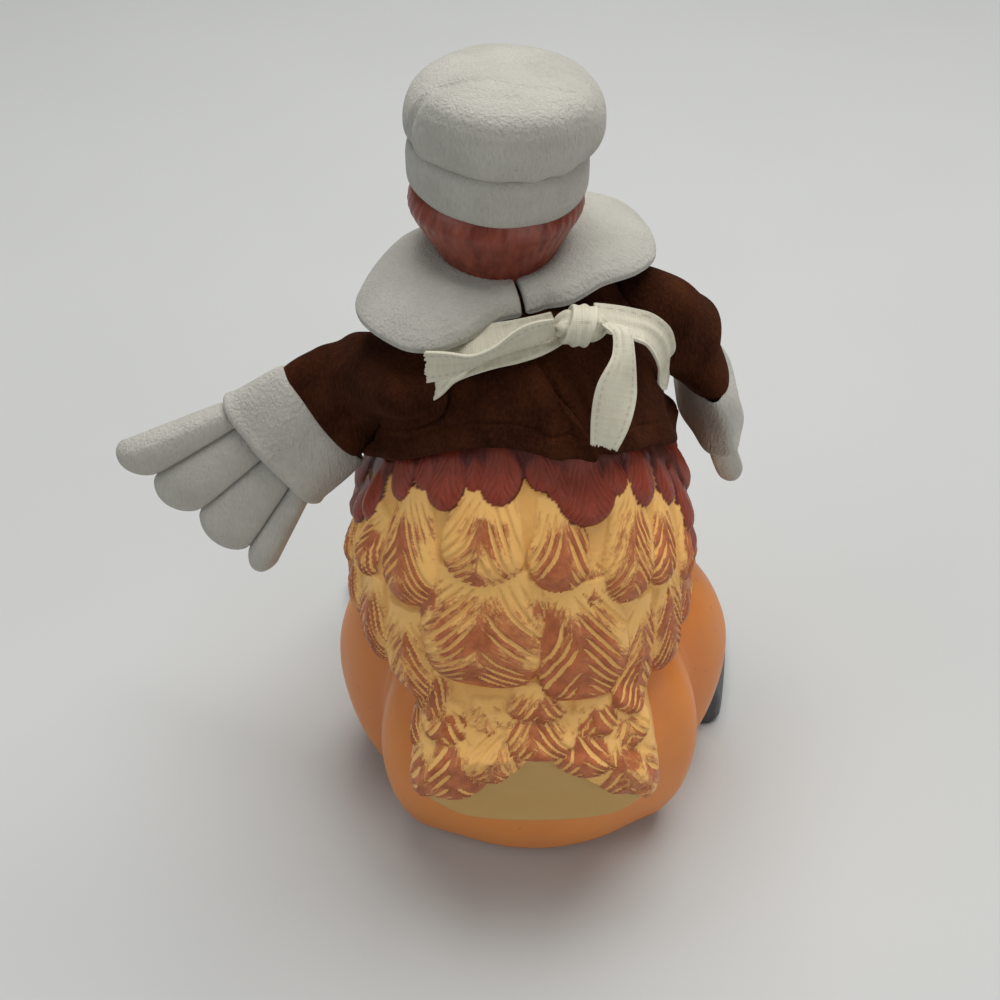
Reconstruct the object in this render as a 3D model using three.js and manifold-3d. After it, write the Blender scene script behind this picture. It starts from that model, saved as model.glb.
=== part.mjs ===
// A painted cast duck in pilgrim dress, seated on a pumpkin.
// Millimetres, +Z up. The figure faces -Y, its left side is +X, and it stands on z = 0.
import * as THREE from "three";
import { mergeVertices } from "three/addons/utils/BufferGeometryUtils.js";
import Module from "manifold-3d";

const wasm = await Module();
wasm.setup();
const { lerp, clamp, degToRad } = THREE.MathUtils;

// Clearance and thicknesses
const gap = 0.3;
const castWall = 4.5;
const velourThick = 2.2;
const collarThick = 2.8;
const cuffThick = 2.4;
const cuffFlare = 2;
const cuffRound = 0.8;
const muslinThick = 1.1;
const drainRadius = 11;

// Pumpkin: radius and height up its side, and the five valleys between its lobes
const pumpkinProfile = [
  [49, 0], [54.5, 4], [60, 15], [63.6, 30], [64.6, 42], [63, 54],
  [58.2, 65], [50, 74], [36, 82], [18, 87],
];
const pumpkinBelt = 42;
const pumpkinRadius = 64.6;
const valleyAngles = [35, 145, 208, 270, 332];
const valleyDepth = 6;
const valleyWidth = 11;
const pumpkinFacets = 40;

// Seated body: height, middle in x, half width, back y, front y
const bodyStations = [
  [70, 2, 42, 60, -34],
  [84, 4, 48.5, 63, -42],
  [97, 5, 50, 61.5, -44],
  [111, 4.5, 48.5, 59.5, -44],
  [126, 4, 44, 56, -42],
  [133, 4, 40.5, 54, -40],
  [140, 4, 38, 51, -38],
  [150, 4.5, 36.5, 43.5, -36],
  [160, 5.5, 35.5, 38.5, -34],
  [171, 7.5, 32, 33.5, -30],
  [180, 9.5, 23.5, 24, -23],
  [185, 11, 16, 16, -17],
  [190.5, 11.5, 13.2, 12.6, -14.6],
];
const bodySquareness = 2.3;
const bodyFacets = 36;
const cavityFloor = 98;
const cavityRoof = 143;
const cavityInset = 6;

// Tail fan: y, half width, top, middle and bottom heights of its lens-shaped section
const tailStations = [
  [38, 34, 98, 62, 42],
  [56, 38, 92, 57, 38],
  [63, 38, 80, 55, 36],
  [67, 37.5, 74, 55, 36],
  [69.5, 35.5, 71.5, 55, 38],
];
const tailMiddle = 1;
const tailLean = 0.15;
const tailLevel = 55;
const tailBulge = 1.15;
const tailFacets = 24;

// Carved feathers on the back and sides: turn about the body and height of base and tip, half width, lift
const featherRows = [
  [17, 134, 23, 119.5, 6.6, 2.2], [30, 147, 40, 134.5, 7.2, 2.2], [54, 153, 60, 139.2, 7.6, 2.4],
  [77, 156, 79.5, 143.2, 8, 2.4], [112, 152, 111, 137, 10.6, 2.6], [141, 150, 136, 134, 7.6, 2.3],
  [158, 142, 151, 127.5, 6, 2.1], [166, 130, 162, 111.5, 5.8, 2.3], [167, 116, 166, 100, 5, 2.2],
  [30.5, 126, 29, 106.5, 6.8, 2.8], [45, 139, 53, 109.4, 10, 3], [73.5, 146, 75, 121.2, 12.4, 3],
  [100.5, 143, 99.3, 120.2, 9, 2.8], [130, 142, 120, 112.2, 9, 3], [147, 131, 134.5, 110.8, 6.2, 2.6],
  [35, 108, 38.6, 79, 7.4, 2.7], [51, 106, 55, 73.3, 7.6, 3], [75, 124, 77.5, 89.5, 16.2, 4.4],
  [106, 121, 106.5, 86, 13, 4.2], [125, 110, 120, 77.3, 7.6, 3], [141, 113, 138, 76.5, 7.8, 2.8],
  [66, 80, 68.5, 69.8, 6.8, 2.2], [92.2, 89, 92.6, 79.6, 7.8, 2.6], [107.8, 84, 107.7, 73.4, 5.8, 2.2],
  [118.5, 80, 117.3, 68.8, 5.8, 2.4], [61.5, 68, 63.4, 49.5, 5.8, 3.2], [73, 74, 71, 48.5, 6.2, 3.4],
  [83, 78, 80.2, 57.5, 6.6, 3.4], [92.5, 80, 92.5, 67.6, 8, 3.6], [102, 78, 104.4, 61.4, 6.6, 3.4],
  [110.5, 74, 112.6, 50.5, 6.6, 3.4], [122.5, 68, 122.2, 46, 5.4, 3.2],
];
const featherMiddle = [3, 8];
const featherRadius = 49.3;
const featherSink = 1.5;
const carvingTolerance = 0.02;
// Along a feather: share of its length, of its width and of its lift
const featherRun = [[0, 0.7, 0.15], [0.5, 0.95, 0.7], [0.9, 0.85, 1], [1, 0.5, -0.2]];
const featherDome = [[-1, -0.3], [-0.5, 0.9], [0.5, 0.9], [1, -0.3]];

// Head: height, middle x, middle y, half width, half depth
const headStations = [
  [190.8, 11.5, -1, 14.8, 15.2],
  [195, 11.8, -1.8, 17.2, 18],
  [201, 12, -3, 20.5, 21.5],
  [206, 12, -3.8, 23.6, 24.4],
  [208.6, 12, -4.2, 24, 25],
  [209.4, 11.5, -4.5, 20, 21],
  [219, 11.5, -4.5, 19.5, 20.5],
  [228, 11.5, -4.5, 16, 17],
  [235, 11.5, -4.5, 7, 8],
];
const headFacets = 24;
const headLow = headStations[0][0];
const headYaw = degToRad(16.5);
const neckMiddle = [11.5, -1];
const headInset = 5;
const headCavityTop = 222;

// Bill and eyes, on the hidden face
const billRise = 10.2;
const billHeight = headLow + billRise;
const billLength = 26;
const billHalfWidth = 9.5;
const upperBillThick = 6;
const lowerBillThick = 4;
const eyeRadius = 4.2;
const eyeRise = 13.7;
const eyeHeight = headLow + eyeRise;
const eyeSpread = degToRad(42);

// Cap: a turned-up band and a puffed crown that flops to the figure's right
const bandBottom = 209.8;
const bandTop = 221.5;
const bandThick = 4;
const crownStations = [
  [221.8, 10.8, -4.8, 22.3, 22.8],
  [225, 10.2, -5, 25, 25.2],
  [229.5, 9.8, -5.2, 25.7, 25.8],
  [235, 9, -5.3, 24.4, 24.6],
  [239.3, 8.4, -5.4, 20, 20.2],
  [242.2, 8, -5.4, 12, 12],
];
const creaseDepth = 1.4;
const creaseLine = -9;

// Collar: angle from the back split, reach from the neck on each side, height of the outer edge
const collarNeck = 15.8;
const collarDrop = 0.4;
const collarNeckHeight = headLow - collarDrop;
const collarLeft = [
  [1.5, 22.5, 187], [25, 24.8, 186.5], [43, 30.5, 185.2], [55, 35.5, 184], [72, 39, 183.6],
  [90, 40, 184], [106, 38, 184.4], [125, 35.5, 184.2], [150, 34, 184], [176, 30, 184.5],
];
const collarRight = [
  [2.5, 22.5, 187.5], [25, 24.8, 187.5], [43, 31, 187], [57, 37.5, 186.2], [74, 43, 185.8],
  [90, 44.5, 186], [107, 45, 186.4], [125, 43.5, 187], [150, 38, 186.5], [176, 31, 185.5],
];
const collarRise = 1.6;

// Jacket: hem line from back to front in y and z, folds, and seams
const hemLine = [[70, 178], [43, 155], [15, 135], [-20, 122], [-70, 108]];
const hemDrop = degToRad(4);
const hemRise = 2;
const jacketTop = 184.6;
const jacketFacets = 45;
const foldCount = 9;
const foldDepth = 2;
const foldTop = 172;
const foldBottom = 128;
const backSeam = -8;
const seamBehind = 5;

// Arms: shoulder pivot, direction and the normal of the flat side
const shoulderRadius = 14;
const leftArm = { pivot: [41, 4.3, 158], along: [0.8, 0.108, -0.59], flat: [0, 0.97, 0.24] };
const rightArm = { pivot: [-37.5, -13, 161], along: [-0.344, -0.264, -0.9], flat: [0.913, 0.125, -0.386] };
const sleeveStations = [
  [-2, 12.2, 12], [4, 12.8, 11.6], [12, 14, 9.6], [19, 15.6, 8.4], [25.4, 16.6, 7.4],
];
const armRange = [-6, 0, 15, 35];
const sleeveInCuff = [15.5, 5.6];
const sleeveEnd = 37.6;
const cuffStart = 25.9;
const cuffEnd = 45;
const wristAt = 44;
const wristRadius = 4.2;
const wristHalf = 9.3;
const fingerThick = 5;

// Fingers in the hand's own plane: root and tip as distance along and across the arm, half widths
const leftFingers = [
  { root: [5.5, -15.5], tip: [36, -21.5], half: [4.5, 6.4] },
  { root: [3, -6], tip: [32, -5.8], half: [6.5, 7.6] },
  { root: [3, 6.3], tip: [30, 12], half: [6.3, 9] },
  { root: [5.5, 15.5], tip: [26.5, 25.5], half: [4.3, 4.6] },
];
const rightFingers = [
  { root: [5.5, -13], tip: [26, -28], half: [4.5, 5.4] },
  { root: [3, -6], tip: [30, -17.5], half: [6, 6.8] },
  { root: [3, 4], tip: [30, -4], half: [6.5, 7] },
  { root: [5.5, 11], tip: [23, 8], half: [4.5, 4.8] },
];

// Apron ties round the waist: angle about the body, height, lift off the jacket, half width
const tieRadius = 40;
const strapRight = [
  [131, 184.5, 9.5, 3], [137, 180, 6, 4], [144, 174, 2.4, 5], [156, 164, 0.4, 5.2], [170, 152, 0.2, 4.6],
];
const strapLeft = [
  [118, 184.5, 9, 3], [102, 182.4, 6.6, 3.6], [84, 180.6, 5, 4.2], [68, 177.6, 3.2, 4.8],
  [56, 171, 1.6, 5.2], [44, 159, 0.5, 5.2], [30, 146, 0.2, 4.6],
];
const waistband = [
  [-30, 139, 0.2, 4.6], [-60, 143, 0.2, 5.2], [-90, 144, 0.2, 5.2],
  [-120, 143, 0.2, 5.2], [-148, 139, 0.2, 4.6],
];
const strapSteps = 3;
const knotMiddle = [-9.5, 30, 186.8];
const knotHalf = [6.4, 4, 5.2];

// Loose tails of the bow: middle line, and the way their width runs
const tailLeft = [
  { at: [-3.05, 31.5, 187.5], across: [0.1, 0.35, 1], half: 3.4 },
  { at: [5, 33.5, 187.8], across: [0.1, 0.5, 1], half: 4.4 },
  { at: [13, 35, 185.5], across: [0.2, 0.75, 1], half: 4.6 },
  { at: [20, 36, 183], across: [0.2, 0.6, 1], half: 3.8 },
  { at: [26, 36.5, 181], across: [0.25, 0.3, 1], half: 4.4 },
  { at: [33, 37, 179.5], across: [0.3, 0.2, 1], half: 5.6 },
];
const tailRight = [
  { at: [-17, 31.5, 189.5], across: [1, 0.3, 0.3], half: 3.6 },
  { at: [-19, 36, 191], across: [1, 0.3, 0.1], half: 4.4 },
  { at: [-19.5, 41.5, 187], across: [1, 0.2, 0.1], half: 5 },
  { at: [-18.5, 46, 179], across: [1, 0.15, 0.05], half: 5.6 },
  { at: [-17.5, 49, 170], across: [1, 0, 0], half: 5.8 },
  { at: [-17, 51, 161], across: [1, -0.1, 0], half: 4.9 },
];

// Apron panel in front
const apronHalf = 29;
const apronTop = 136.2;
const apronBottom = 99;
const apronFolds = 5;
const apronFoldDepth = 1.3;
const apronStandOff = 5.2;

// Legs and shoes
const legRadius = 7;
const legRight = [
  [-16, -36, 94], [-25, -53, 85], [-39, -60, 62], [-51, -51, 38], [-57.5, -40, 20], [-60, -37, 10],
];
const legLeft = [
  [20, -36, 94], [28, -53, 86], [38, -62, 64], [46, -61, 40], [51.5, -52, 20], [53, -50, 10],
];
const shoeHalfLength = 26;
const shoeHalfWidth = 10.5;
const shoeHeight = 19;
const shoeRight = { middle: [-60, -28], heading: [-0.12, -0.99] };
const shoeLeft = { middle: [54, -55], heading: [0.25, -0.97] };

// Paints and cloths
const paint = (color, roughness) => new THREE.MeshStandardMaterial({ color, roughness, metalness: 0 });
const orange = paint(0xd98a4a, 0.45);
const feather = paint(0xcf9a5c, 0.6);
const redBrown = paint(0x7a3a2a, 0.5);
const billYellow = paint(0xd9993f, 0.45);
const eyeBlack = paint(0x151210, 0.2);
const whiteVelour = paint(0xd8d5cc, 0.95);
const brownVelour = paint(0x3a1e10, 0.95);
const muslin = paint(0xd6d1ba, 0.9);
const shoeGrey = paint(0x4c5053, 0.5);

const vec = (x, y, z) => new THREE.Vector3(x, y, z);
const signedPower = (value, power) => Math.sign(value) * Math.abs(value) ** power;

// Row of a station table at any key, by straight lines between its rows
function stationAt(rows, key) {
  let i = 0;
  while (i < rows.length - 2 && key > rows[i + 1][0]) i += 1;
  const [low, high] = [rows[i], rows[i + 1]];
  const t = clamp((key - low[0]) / (high[0] - low[0]), 0, 1);
  return low.slice(1).map((value, k) => lerp(value, high[k + 1], t));
}

function solidOf(points, faces) {
  const vertProperties = new Float32Array(points.flatMap((p) => [p.x, p.y, p.z]));
  const build = (list) => {
    return new wasm.Manifold(new wasm.Mesh({ numProp: 3, vertProperties, triVerts: new Uint32Array(list) }));
  };
  const solid = build(faces);
  return solid.volume() > 0 ? solid : build([...faces].reverse());
}

function solidFrom(geometry) {
  geometry.deleteAttribute("normal");
  geometry.deleteAttribute("uv");
  const merged = mergeVertices(geometry, 1e-4);
  const place = merged.getAttribute("position");
  const points = Array.from({ length: place.count }, (_, i) => vec().fromBufferAttribute(place, i));
  return solidOf(points, Array.from(merged.index.array));
}

const ringOf = (count, pointAt) => {
  return Array.from({ length: count }, (_, i) => pointAt((2 * Math.PI * i) / count));
};

// Closed skin over a row of rings, with a fan over each end
function loft(rings) {
  const count = rings[0].length;
  const points = rings.flat();
  const faces = [];
  for (let i = 0; i + 1 < rings.length; i += 1) {
    for (let j = 0; j < count; j += 1) {
      const a = i * count + j;
      const b = i * count + ((j + 1) % count);
      faces.push(a, b, b + count, a, b + count, a + count);
    }
  }
  for (const end of [0, rings.length - 1]) {
    const middle = points.length;
    points.push(rings[end].reduce((sum, p) => sum.addScaledVector(p, 1 / count), vec()));
    for (let j = 0; j < count; j += 1) {
      const a = end * count + j;
      const b = end * count + ((j + 1) % count);
      faces.push(...(end === 0 ? [middle, b, a] : [middle, a, b]));
    }
  }
  return solidOf(points, faces);
}

// Closed slab between two grids of points that have the same rows
function slab(outer, inner) {
  const [rows, columns] = [outer.length, outer[0].length];
  const points = [...outer.flat(), ...inner.flat()];
  const faces = [];
  const out = (i, j) => i * columns + j;
  const into = (i, j) => rows * columns + out(i, j);
  const quad = (a, b, c, d) => faces.push(a, b, c, a, c, d);
  for (let i = 0; i + 1 < rows; i += 1) {
    for (let j = 0; j + 1 < columns; j += 1) {
      quad(out(i, j), out(i + 1, j), out(i + 1, j + 1), out(i, j + 1));
      quad(into(i, j), into(i, j + 1), into(i + 1, j + 1), into(i + 1, j));
    }
    quad(into(i, 0), into(i + 1, 0), out(i + 1, 0), out(i, 0));
    quad(out(i, columns - 1), out(i + 1, columns - 1), into(i + 1, columns - 1), into(i, columns - 1));
  }
  for (let j = 0; j + 1 < columns; j += 1) {
    quad(out(0, j), out(0, j + 1), into(0, j + 1), into(0, j));
    const last = rows - 1;
    quad(into(last, j), into(last, j + 1), out(last, j + 1), out(last, j));
  }
  return solidOf(points, faces);
}

const box = (low, high) => {
  const size = low.map((value, k) => high[k] - value);
  const middle = low.map((value, k) => (high[k] + value) / 2);
  return solidFrom(new THREE.BoxGeometry(...size).translate(...middle));
};
const ball = (middle, radius, fine) => {
  return solidFrom(new THREE.SphereGeometry(radius, fine, fine / 2).translate(...middle));
};
const post = (x, y, radius, low, high) => {
  const shape = new THREE.CylinderGeometry(radius, radius, high - low, 24).rotateX(Math.PI / 2);
  return solidFrom(shape.translate(x, y, (low + high) / 2));
};

const cutFrom = (solid, cuts) => cuts.reduce((left, cut) => left.subtract(cut), solid);

const group = new THREE.Group();
function add(name, solid, material) {
  const { vertProperties, triVerts } = solid.getMesh();
  const geometry = new THREE.BufferGeometry();
  geometry.setAttribute("position", new THREE.BufferAttribute(new Float32Array(vertProperties), 3));
  geometry.setIndex(new THREE.BufferAttribute(new Uint32Array(triVerts), 1));
  geometry.computeVertexNormals();
  const mesh = new THREE.Mesh(geometry, material);
  mesh.name = name;
  group.add(mesh);
}

// Pumpkin skin, grown or shrunk by an outset
function pumpkinSkin(outset) {
  const rings = pumpkinProfile.map(([radius, z]) => {
    const level = z + outset * clamp((z - pumpkinBelt) / 30, -1, 1);
    return ringOf(pumpkinFacets, (angle) => {
      const valley = valleyAngles.reduce((most, at) => {
        const off = Math.abs(((((angle * 180) / Math.PI - at + 540) % 360) - 180) / valleyWidth);
        return Math.max(most, Math.exp(-off));
      }, 0);
      const reach = radius + outset - valleyDepth * (radius / pumpkinRadius) ** 2 * valley;
      return vec(reach * Math.cos(angle), reach * Math.sin(angle), level);
    });
  });
  return loft(rings);
}

const pumpkinTop = pumpkinProfile.at(-1)[1];
const pumpkinGrown = pumpkinSkin(gap);
const drain = post(0, 0, drainRadius, pumpkinTop - 2 * castWall, cavityFloor + 2);
add("pumpkin_shell", pumpkinSkin(0).subtract(pumpkinSkin(-castWall)).subtract(drain), orange);

// Point of the body's skin at an angle and height, pushed out by an outset
function bodyPoint(angle, z, outset) {
  const [middle, half, back, front] = stationAt(bodyStations, z);
  const power = 2 / bodySquareness;
  const x = middle + (half + outset) * signedPower(Math.cos(angle), power);
  const y = (back + front) / 2 + ((back - front) / 2 + outset) * signedPower(Math.sin(angle), power);
  return vec(x, y, z);
}
const bodyRing = (z, outset, facets) => ringOf(facets, (angle) => bodyPoint(angle, z, outset));
const bodyHeights = bodyStations.map(([z]) => z);
const bodySkin = (outset) => loft(bodyHeights.map((z) => bodyRing(z, outset, bodyFacets)));

function tailSkin(outset) {
  return loft(tailStations.map(([y, half, top, middle, bottom]) => {
    return ringOf(tailFacets, (angle) => {
      const up = Math.cos(angle);
      const reach = (up > 0 ? top - middle : middle - bottom) + outset;
      const z = middle + reach * signedPower(up, tailBulge);
      return vec(tailMiddle + (half + outset) * Math.sin(angle), y + outset + tailLean * (z - middle), z);
    });
  }));
}

// Arms: directions along the arm, across its flat side and out of it
function armFrame({ pivot, along, flat }) {
  const forward = vec(...along).normalize();
  const normal = vec(...flat).addScaledVector(forward, -vec(...flat).dot(forward)).normalize();
  const across = normal.clone().cross(forward);
  const at = (s, w, n) => {
    const onAxis = vec(...pivot).addScaledVector(forward, s);
    return onAxis.addScaledVector(across, w).addScaledVector(normal, n);
  };
  return { forward, normal, across, at };
}
function armLoft(frame, stations) {
  return loft(stations.map(([s, half, thick]) => {
    return ringOf(18, (angle) => frame.at(s, half * Math.cos(angle), thick * Math.sin(angle)));
  }));
}
// Room that an arm sweeps through between its lowest and highest position
function armRoom(place, lift) {
  const grown = sleeveStations.map(([s, half, thick]) => [s, half + 2 * gap, thick + 2 * gap]);
  const sleeve = armLoft(armFrame(place), grown).translate(place.pivot.map((value) => -value));
  const poses = armRange.map((turn) => sleeve.rotate([0, lift * turn, 0]).translate(place.pivot));
  return poses.reduce((room, pose) => room.add(pose), ball(place.pivot, shoulderRadius + 2 * gap, 18));
}

const bodyCavity = loft([
  bodyRing(cavityFloor, -2 * cavityInset, bodyFacets),
  bodyRing(cavityFloor + cavityInset, -cavityInset, bodyFacets),
  bodyRing((cavityFloor + cavityRoof) / 2, -cavityInset, bodyFacets),
  bodyRing(cavityRoof, -2 * cavityInset, bodyFacets),
]);
const shoulders = [armRoom(leftArm, -1), armRoom(rightArm, 1)];
const bodyOuter = bodySkin(0).add(tailSkin(0));
const bodyGrown = bodySkin(gap).add(tailSkin(gap));

// Head, bill and eyes
const ovalRing = (x, y, z, half, depth) => {
  return ringOf(headFacets, (angle) => vec(x + half * Math.cos(angle), y + depth * Math.sin(angle), z));
};
function headSkin(stations, outset) {
  return loft(stations.map(([z, x, y, half, depth]) => {
    return ovalRing(x, y, z, half + outset, depth + outset);
  }));
}
const [neckX, neckY] = neckMiddle;
const headCavity = loft([headLow - 1, headLow + 6, headCavityTop - 14, headCavityTop].map((z, i) => {
  const [x, y, half, depth] = stationAt(headStations, z);
  const inset = i < 3 ? headInset : 2 * headInset;
  return ovalRing(x, y, z, half - inset, depth - inset);
}));
const headGrown = headSkin(headStations, gap);
add("head_shell", headSkin(headStations, 0).subtract(headCavity), redBrown);

const [headX, headY] = stationAt(headStations, billHeight);
const headDepth = stationAt(headStations, billHeight)[3];
const faceAlong = vec(Math.sin(headYaw), -Math.cos(headYaw), 0);
const faceAcross = vec(Math.cos(headYaw), Math.sin(headYaw), 0);
function billHalf(low, high, reach) {
  const stations = [
    [-7, 0.8, 1], [4, 0.9, 1], [0.6 * reach, 1.05, 0.7], [0.88 * reach, 1, 0.5], [reach, 0.55, 0.3],
  ];
  return loft(stations.map(([along, wide, tall]) => {
    const middle = vec(headX, headY, (low + high) / 2).addScaledVector(faceAlong, headDepth + along);
    return ringOf(20, (angle) => {
      const up = signedPower(Math.sin(angle), 0.8) * ((high - low) / 2) * tall;
      const side = Math.cos(angle) * billHalfWidth * wide;
      return middle.clone().addScaledVector(faceAcross, side).add(vec(0, 0, up));
    });
  })).subtract(headGrown);
}
add("upper_bill", billHalf(billHeight, billHeight + upperBillThick, billLength), billYellow);
add("lower_bill", billHalf(billHeight - gap - lowerBillThick, billHeight - gap, billLength - 3), billYellow);
for (const [side, name] of [[1, "eye_left"], [-1, "eye_right"]]) {
  const [x, y, half, depth] = stationAt(headStations, eyeHeight);
  const turn = headYaw + side * eyeSpread;
  const middle = [x + (half - 1.6) * Math.sin(turn), y - (depth - 1.6) * Math.cos(turn), eyeHeight];
  add(name, ball(middle, eyeRadius, 16).subtract(headGrown), eyeBlack);
}

// Cap
const bandSection = [[0, 0.55], [0.15, 1], [0.85, 1], [1, 0.7]];
const bandHeight = bandTop - bandBottom;
const bandOuter = loft(bandSection.map(([rise, thick]) => {
  const z = bandBottom + rise * bandHeight;
  const [x, y, half, depth] = stationAt(headStations, (bandBottom + bandTop) / 2);
  const out = bandThick * (0.5 + 0.5 * thick);
  return ovalRing(x, y, z, half + out, depth + out);
}));
const headUnderCap = headStations.filter(([z]) => z > bandBottom - 1);
const headAtBand = [bandBottom - 1, ...headUnderCap[0].slice(1)];
const capHollow = headSkin([headAtBand, ...headUnderCap.slice(1)], 2 * gap);
add("cap_band", bandOuter.subtract(capHollow), whiteVelour);
const crown = loft(crownStations.map(([z, x, y, half, depth]) => {
  return ringOf(headFacets, (angle) => {
    const place = vec(x + half * Math.cos(angle), y + depth * Math.sin(angle), z);
    const crease = Math.exp(-(((place.y - creaseLine) / 3.5) ** 2));
    place.z -= z > bandTop + 10 ? creaseDepth * crease : 0;
    return place;
  });
}));
add("cap_crown", crown.subtract(capHollow), whiteVelour);

// Jacket: a skin over the body that swings out in folds towards the hem
function foldAt(angle, z) {
  const near = clamp((foldTop - z) / (foldTop - foldBottom), 0, 1);
  return foldDepth * near * (0.5 + 0.5 * Math.cos(foldCount * angle));
}
const jacketHeights = [104, 111, 126, 133, 140, 150, 160, 171, 180, jacketTop];
const jacketSkin = (outset) => loft(jacketHeights.map((z) => {
  return ringOf(jacketFacets, (angle) => bodyPoint(angle, z, outset + foldAt(angle, z)));
}));
const jacketOutset = gap + velourThick;
const jacketGrown = jacketSkin(jacketOutset + gap);
const wide = 120;
const tall = 260;
const hemShape = new THREE.Shape([...hemLine, [-70, 60], [70, 60]].map(([y, z]) => new THREE.Vector2(y, z)));
const hemTurn = new THREE.Matrix4().makeBasis(vec(0, 1, 0), vec(0, 0, 1), vec(1, 0, 0));
const hemPrism = new THREE.ExtrudeGeometry(hemShape, { depth: 2 * wide, bevelEnabled: false });
hemPrism.translate(0, 0, -wide).applyMatrix4(hemTurn).rotateY(hemDrop).translate(0, 0, hemRise);
const hemCut = solidFrom(hemPrism);
const lining = jacketSkin(gap).add(post(neckX, neckY, 40, jacketTop - 0.01, jacketTop + 20));
const jacket = cutFrom(jacketSkin(jacketOutset), [lining, hemCut, ...shoulders]);
const leftSeam = leftArm.pivot[1] + seamBehind;
const rightSeam = rightArm.pivot[1];
const frontLeftBox = box([neckX, -wide, 0], [wide, leftSeam, tall]);
const frontBox = frontLeftBox.add(box([-wide, -wide, 0], [neckX, rightSeam, tall]));
const leftBox = box([backSeam + gap, leftSeam + gap, 0], [wide, wide, tall]);
const rightBox = box([-wide, rightSeam + gap, 0], [backSeam, wide, tall]);
add("jacket_front", jacket.intersect(frontBox), brownVelour);
add("jacket_back_left", jacket.intersect(leftBox), brownVelour);
add("jacket_back_right", jacket.intersect(rightBox), brownVelour);

// Whether a point is inside the body or the tail fan
function inSkin(x, y, z) {
  const [middle, half, back, front] = stationAt(bodyStations, z);
  const side = Math.abs((x - middle) / half) ** bodySquareness;
  const deep = Math.abs((2 * y - back - front) / (back - front)) ** bodySquareness;
  const run = y - tailLean * (z - tailLevel);
  const [tailHalf, top, level, bottom] = stationAt(tailStations, run);
  const lens = Math.max(0, 1 - ((x - tailMiddle) / tailHalf) ** 2) ** (tailBulge / 2);
  const tall = (z > level ? top - level : level - bottom) * lens;
  const inTail = run > tailStations[0][0] && run < tailStations.at(-1)[0] && Math.abs(z - level) < tall;
  return inTail || (z > bodyStations[0][0] && side + deep < 1);
}
function skinPoint(turn, z, outset) {
  const [x, y] = featherMiddle;
  const at = (reach) => [x + reach * Math.cos(turn), y + reach * Math.sin(turn), z];
  let reach = 2 * featherRadius;
  while (reach > 0 && !inSkin(...at(reach))) reach -= 0.1;
  return vec(...at(reach + outset));
}
function lobe([turnBase, zBase, turnTip, zTip, half, lift]) {
  const base = new THREE.Vector2(degToRad(turnBase) * featherRadius, zBase);
  const run = new THREE.Vector2(degToRad(turnTip) * featherRadius, zTip).sub(base);
  const over = new THREE.Vector2(run.y, -run.x).normalize();
  const layer = (top) => featherRun.map(([t, wide, rise]) => featherDome.map(([side, dome]) => {
    const spot = base.clone().addScaledVector(run, t).addScaledVector(over, side * half * wide);
    const height = rise > 0 ? lift * rise * dome : lift * rise;
    return skinPoint(spot.x / featherRadius, spot.y, top ? height : -featherSink);
  }));
  return slab(layer(true), layer(false));
}

// Body with its carved feathers, which stop short of the jacket
const coat = jacketGrown.subtract(hemCut.translate(0, 0, -2 * gap));
const lobes = featherRows.map(lobe).reduce((made, feathers) => made.add(feathers)).subtract(coat);
const carved = cutFrom(bodyOuter.add(lobes), [pumpkinGrown, bodyCavity, drain, ...shoulders]);
const carvedPieces = carved.simplify(carvingTolerance).decompose();
const bodyShell = carvedPieces.reduce((most, piece) => (piece.volume() > most.volume() ? piece : most));
add("body_shell", bodyShell, feather);

// Collar halves, lying from the neck out over the shoulders
function collarHalf(rows, side) {
  const layer = (drop) => rows.map(([turn, reach, edge]) => {
    const angle = Math.PI / 2 + headYaw - side * degToRad(turn);
    return [0, 0.25, 0.5, 0.75, 1].map((t) => {
      const radius = lerp(collarNeck, reach, t);
      const z = lerp(collarNeckHeight, edge, t) + collarRise * Math.sin(Math.PI * t) - drop;
      return vec(neckX + radius * Math.cos(angle), neckY + radius * Math.sin(angle), z);
    });
  });
  return slab(layer(0), layer(collarThick)).subtract(jacketGrown).subtract(bodyGrown).subtract(headGrown);
}
add("collar_left", collarHalf(collarLeft, 1), whiteVelour);
add("collar_right", collarHalf(collarRight, -1), whiteVelour);

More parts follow.
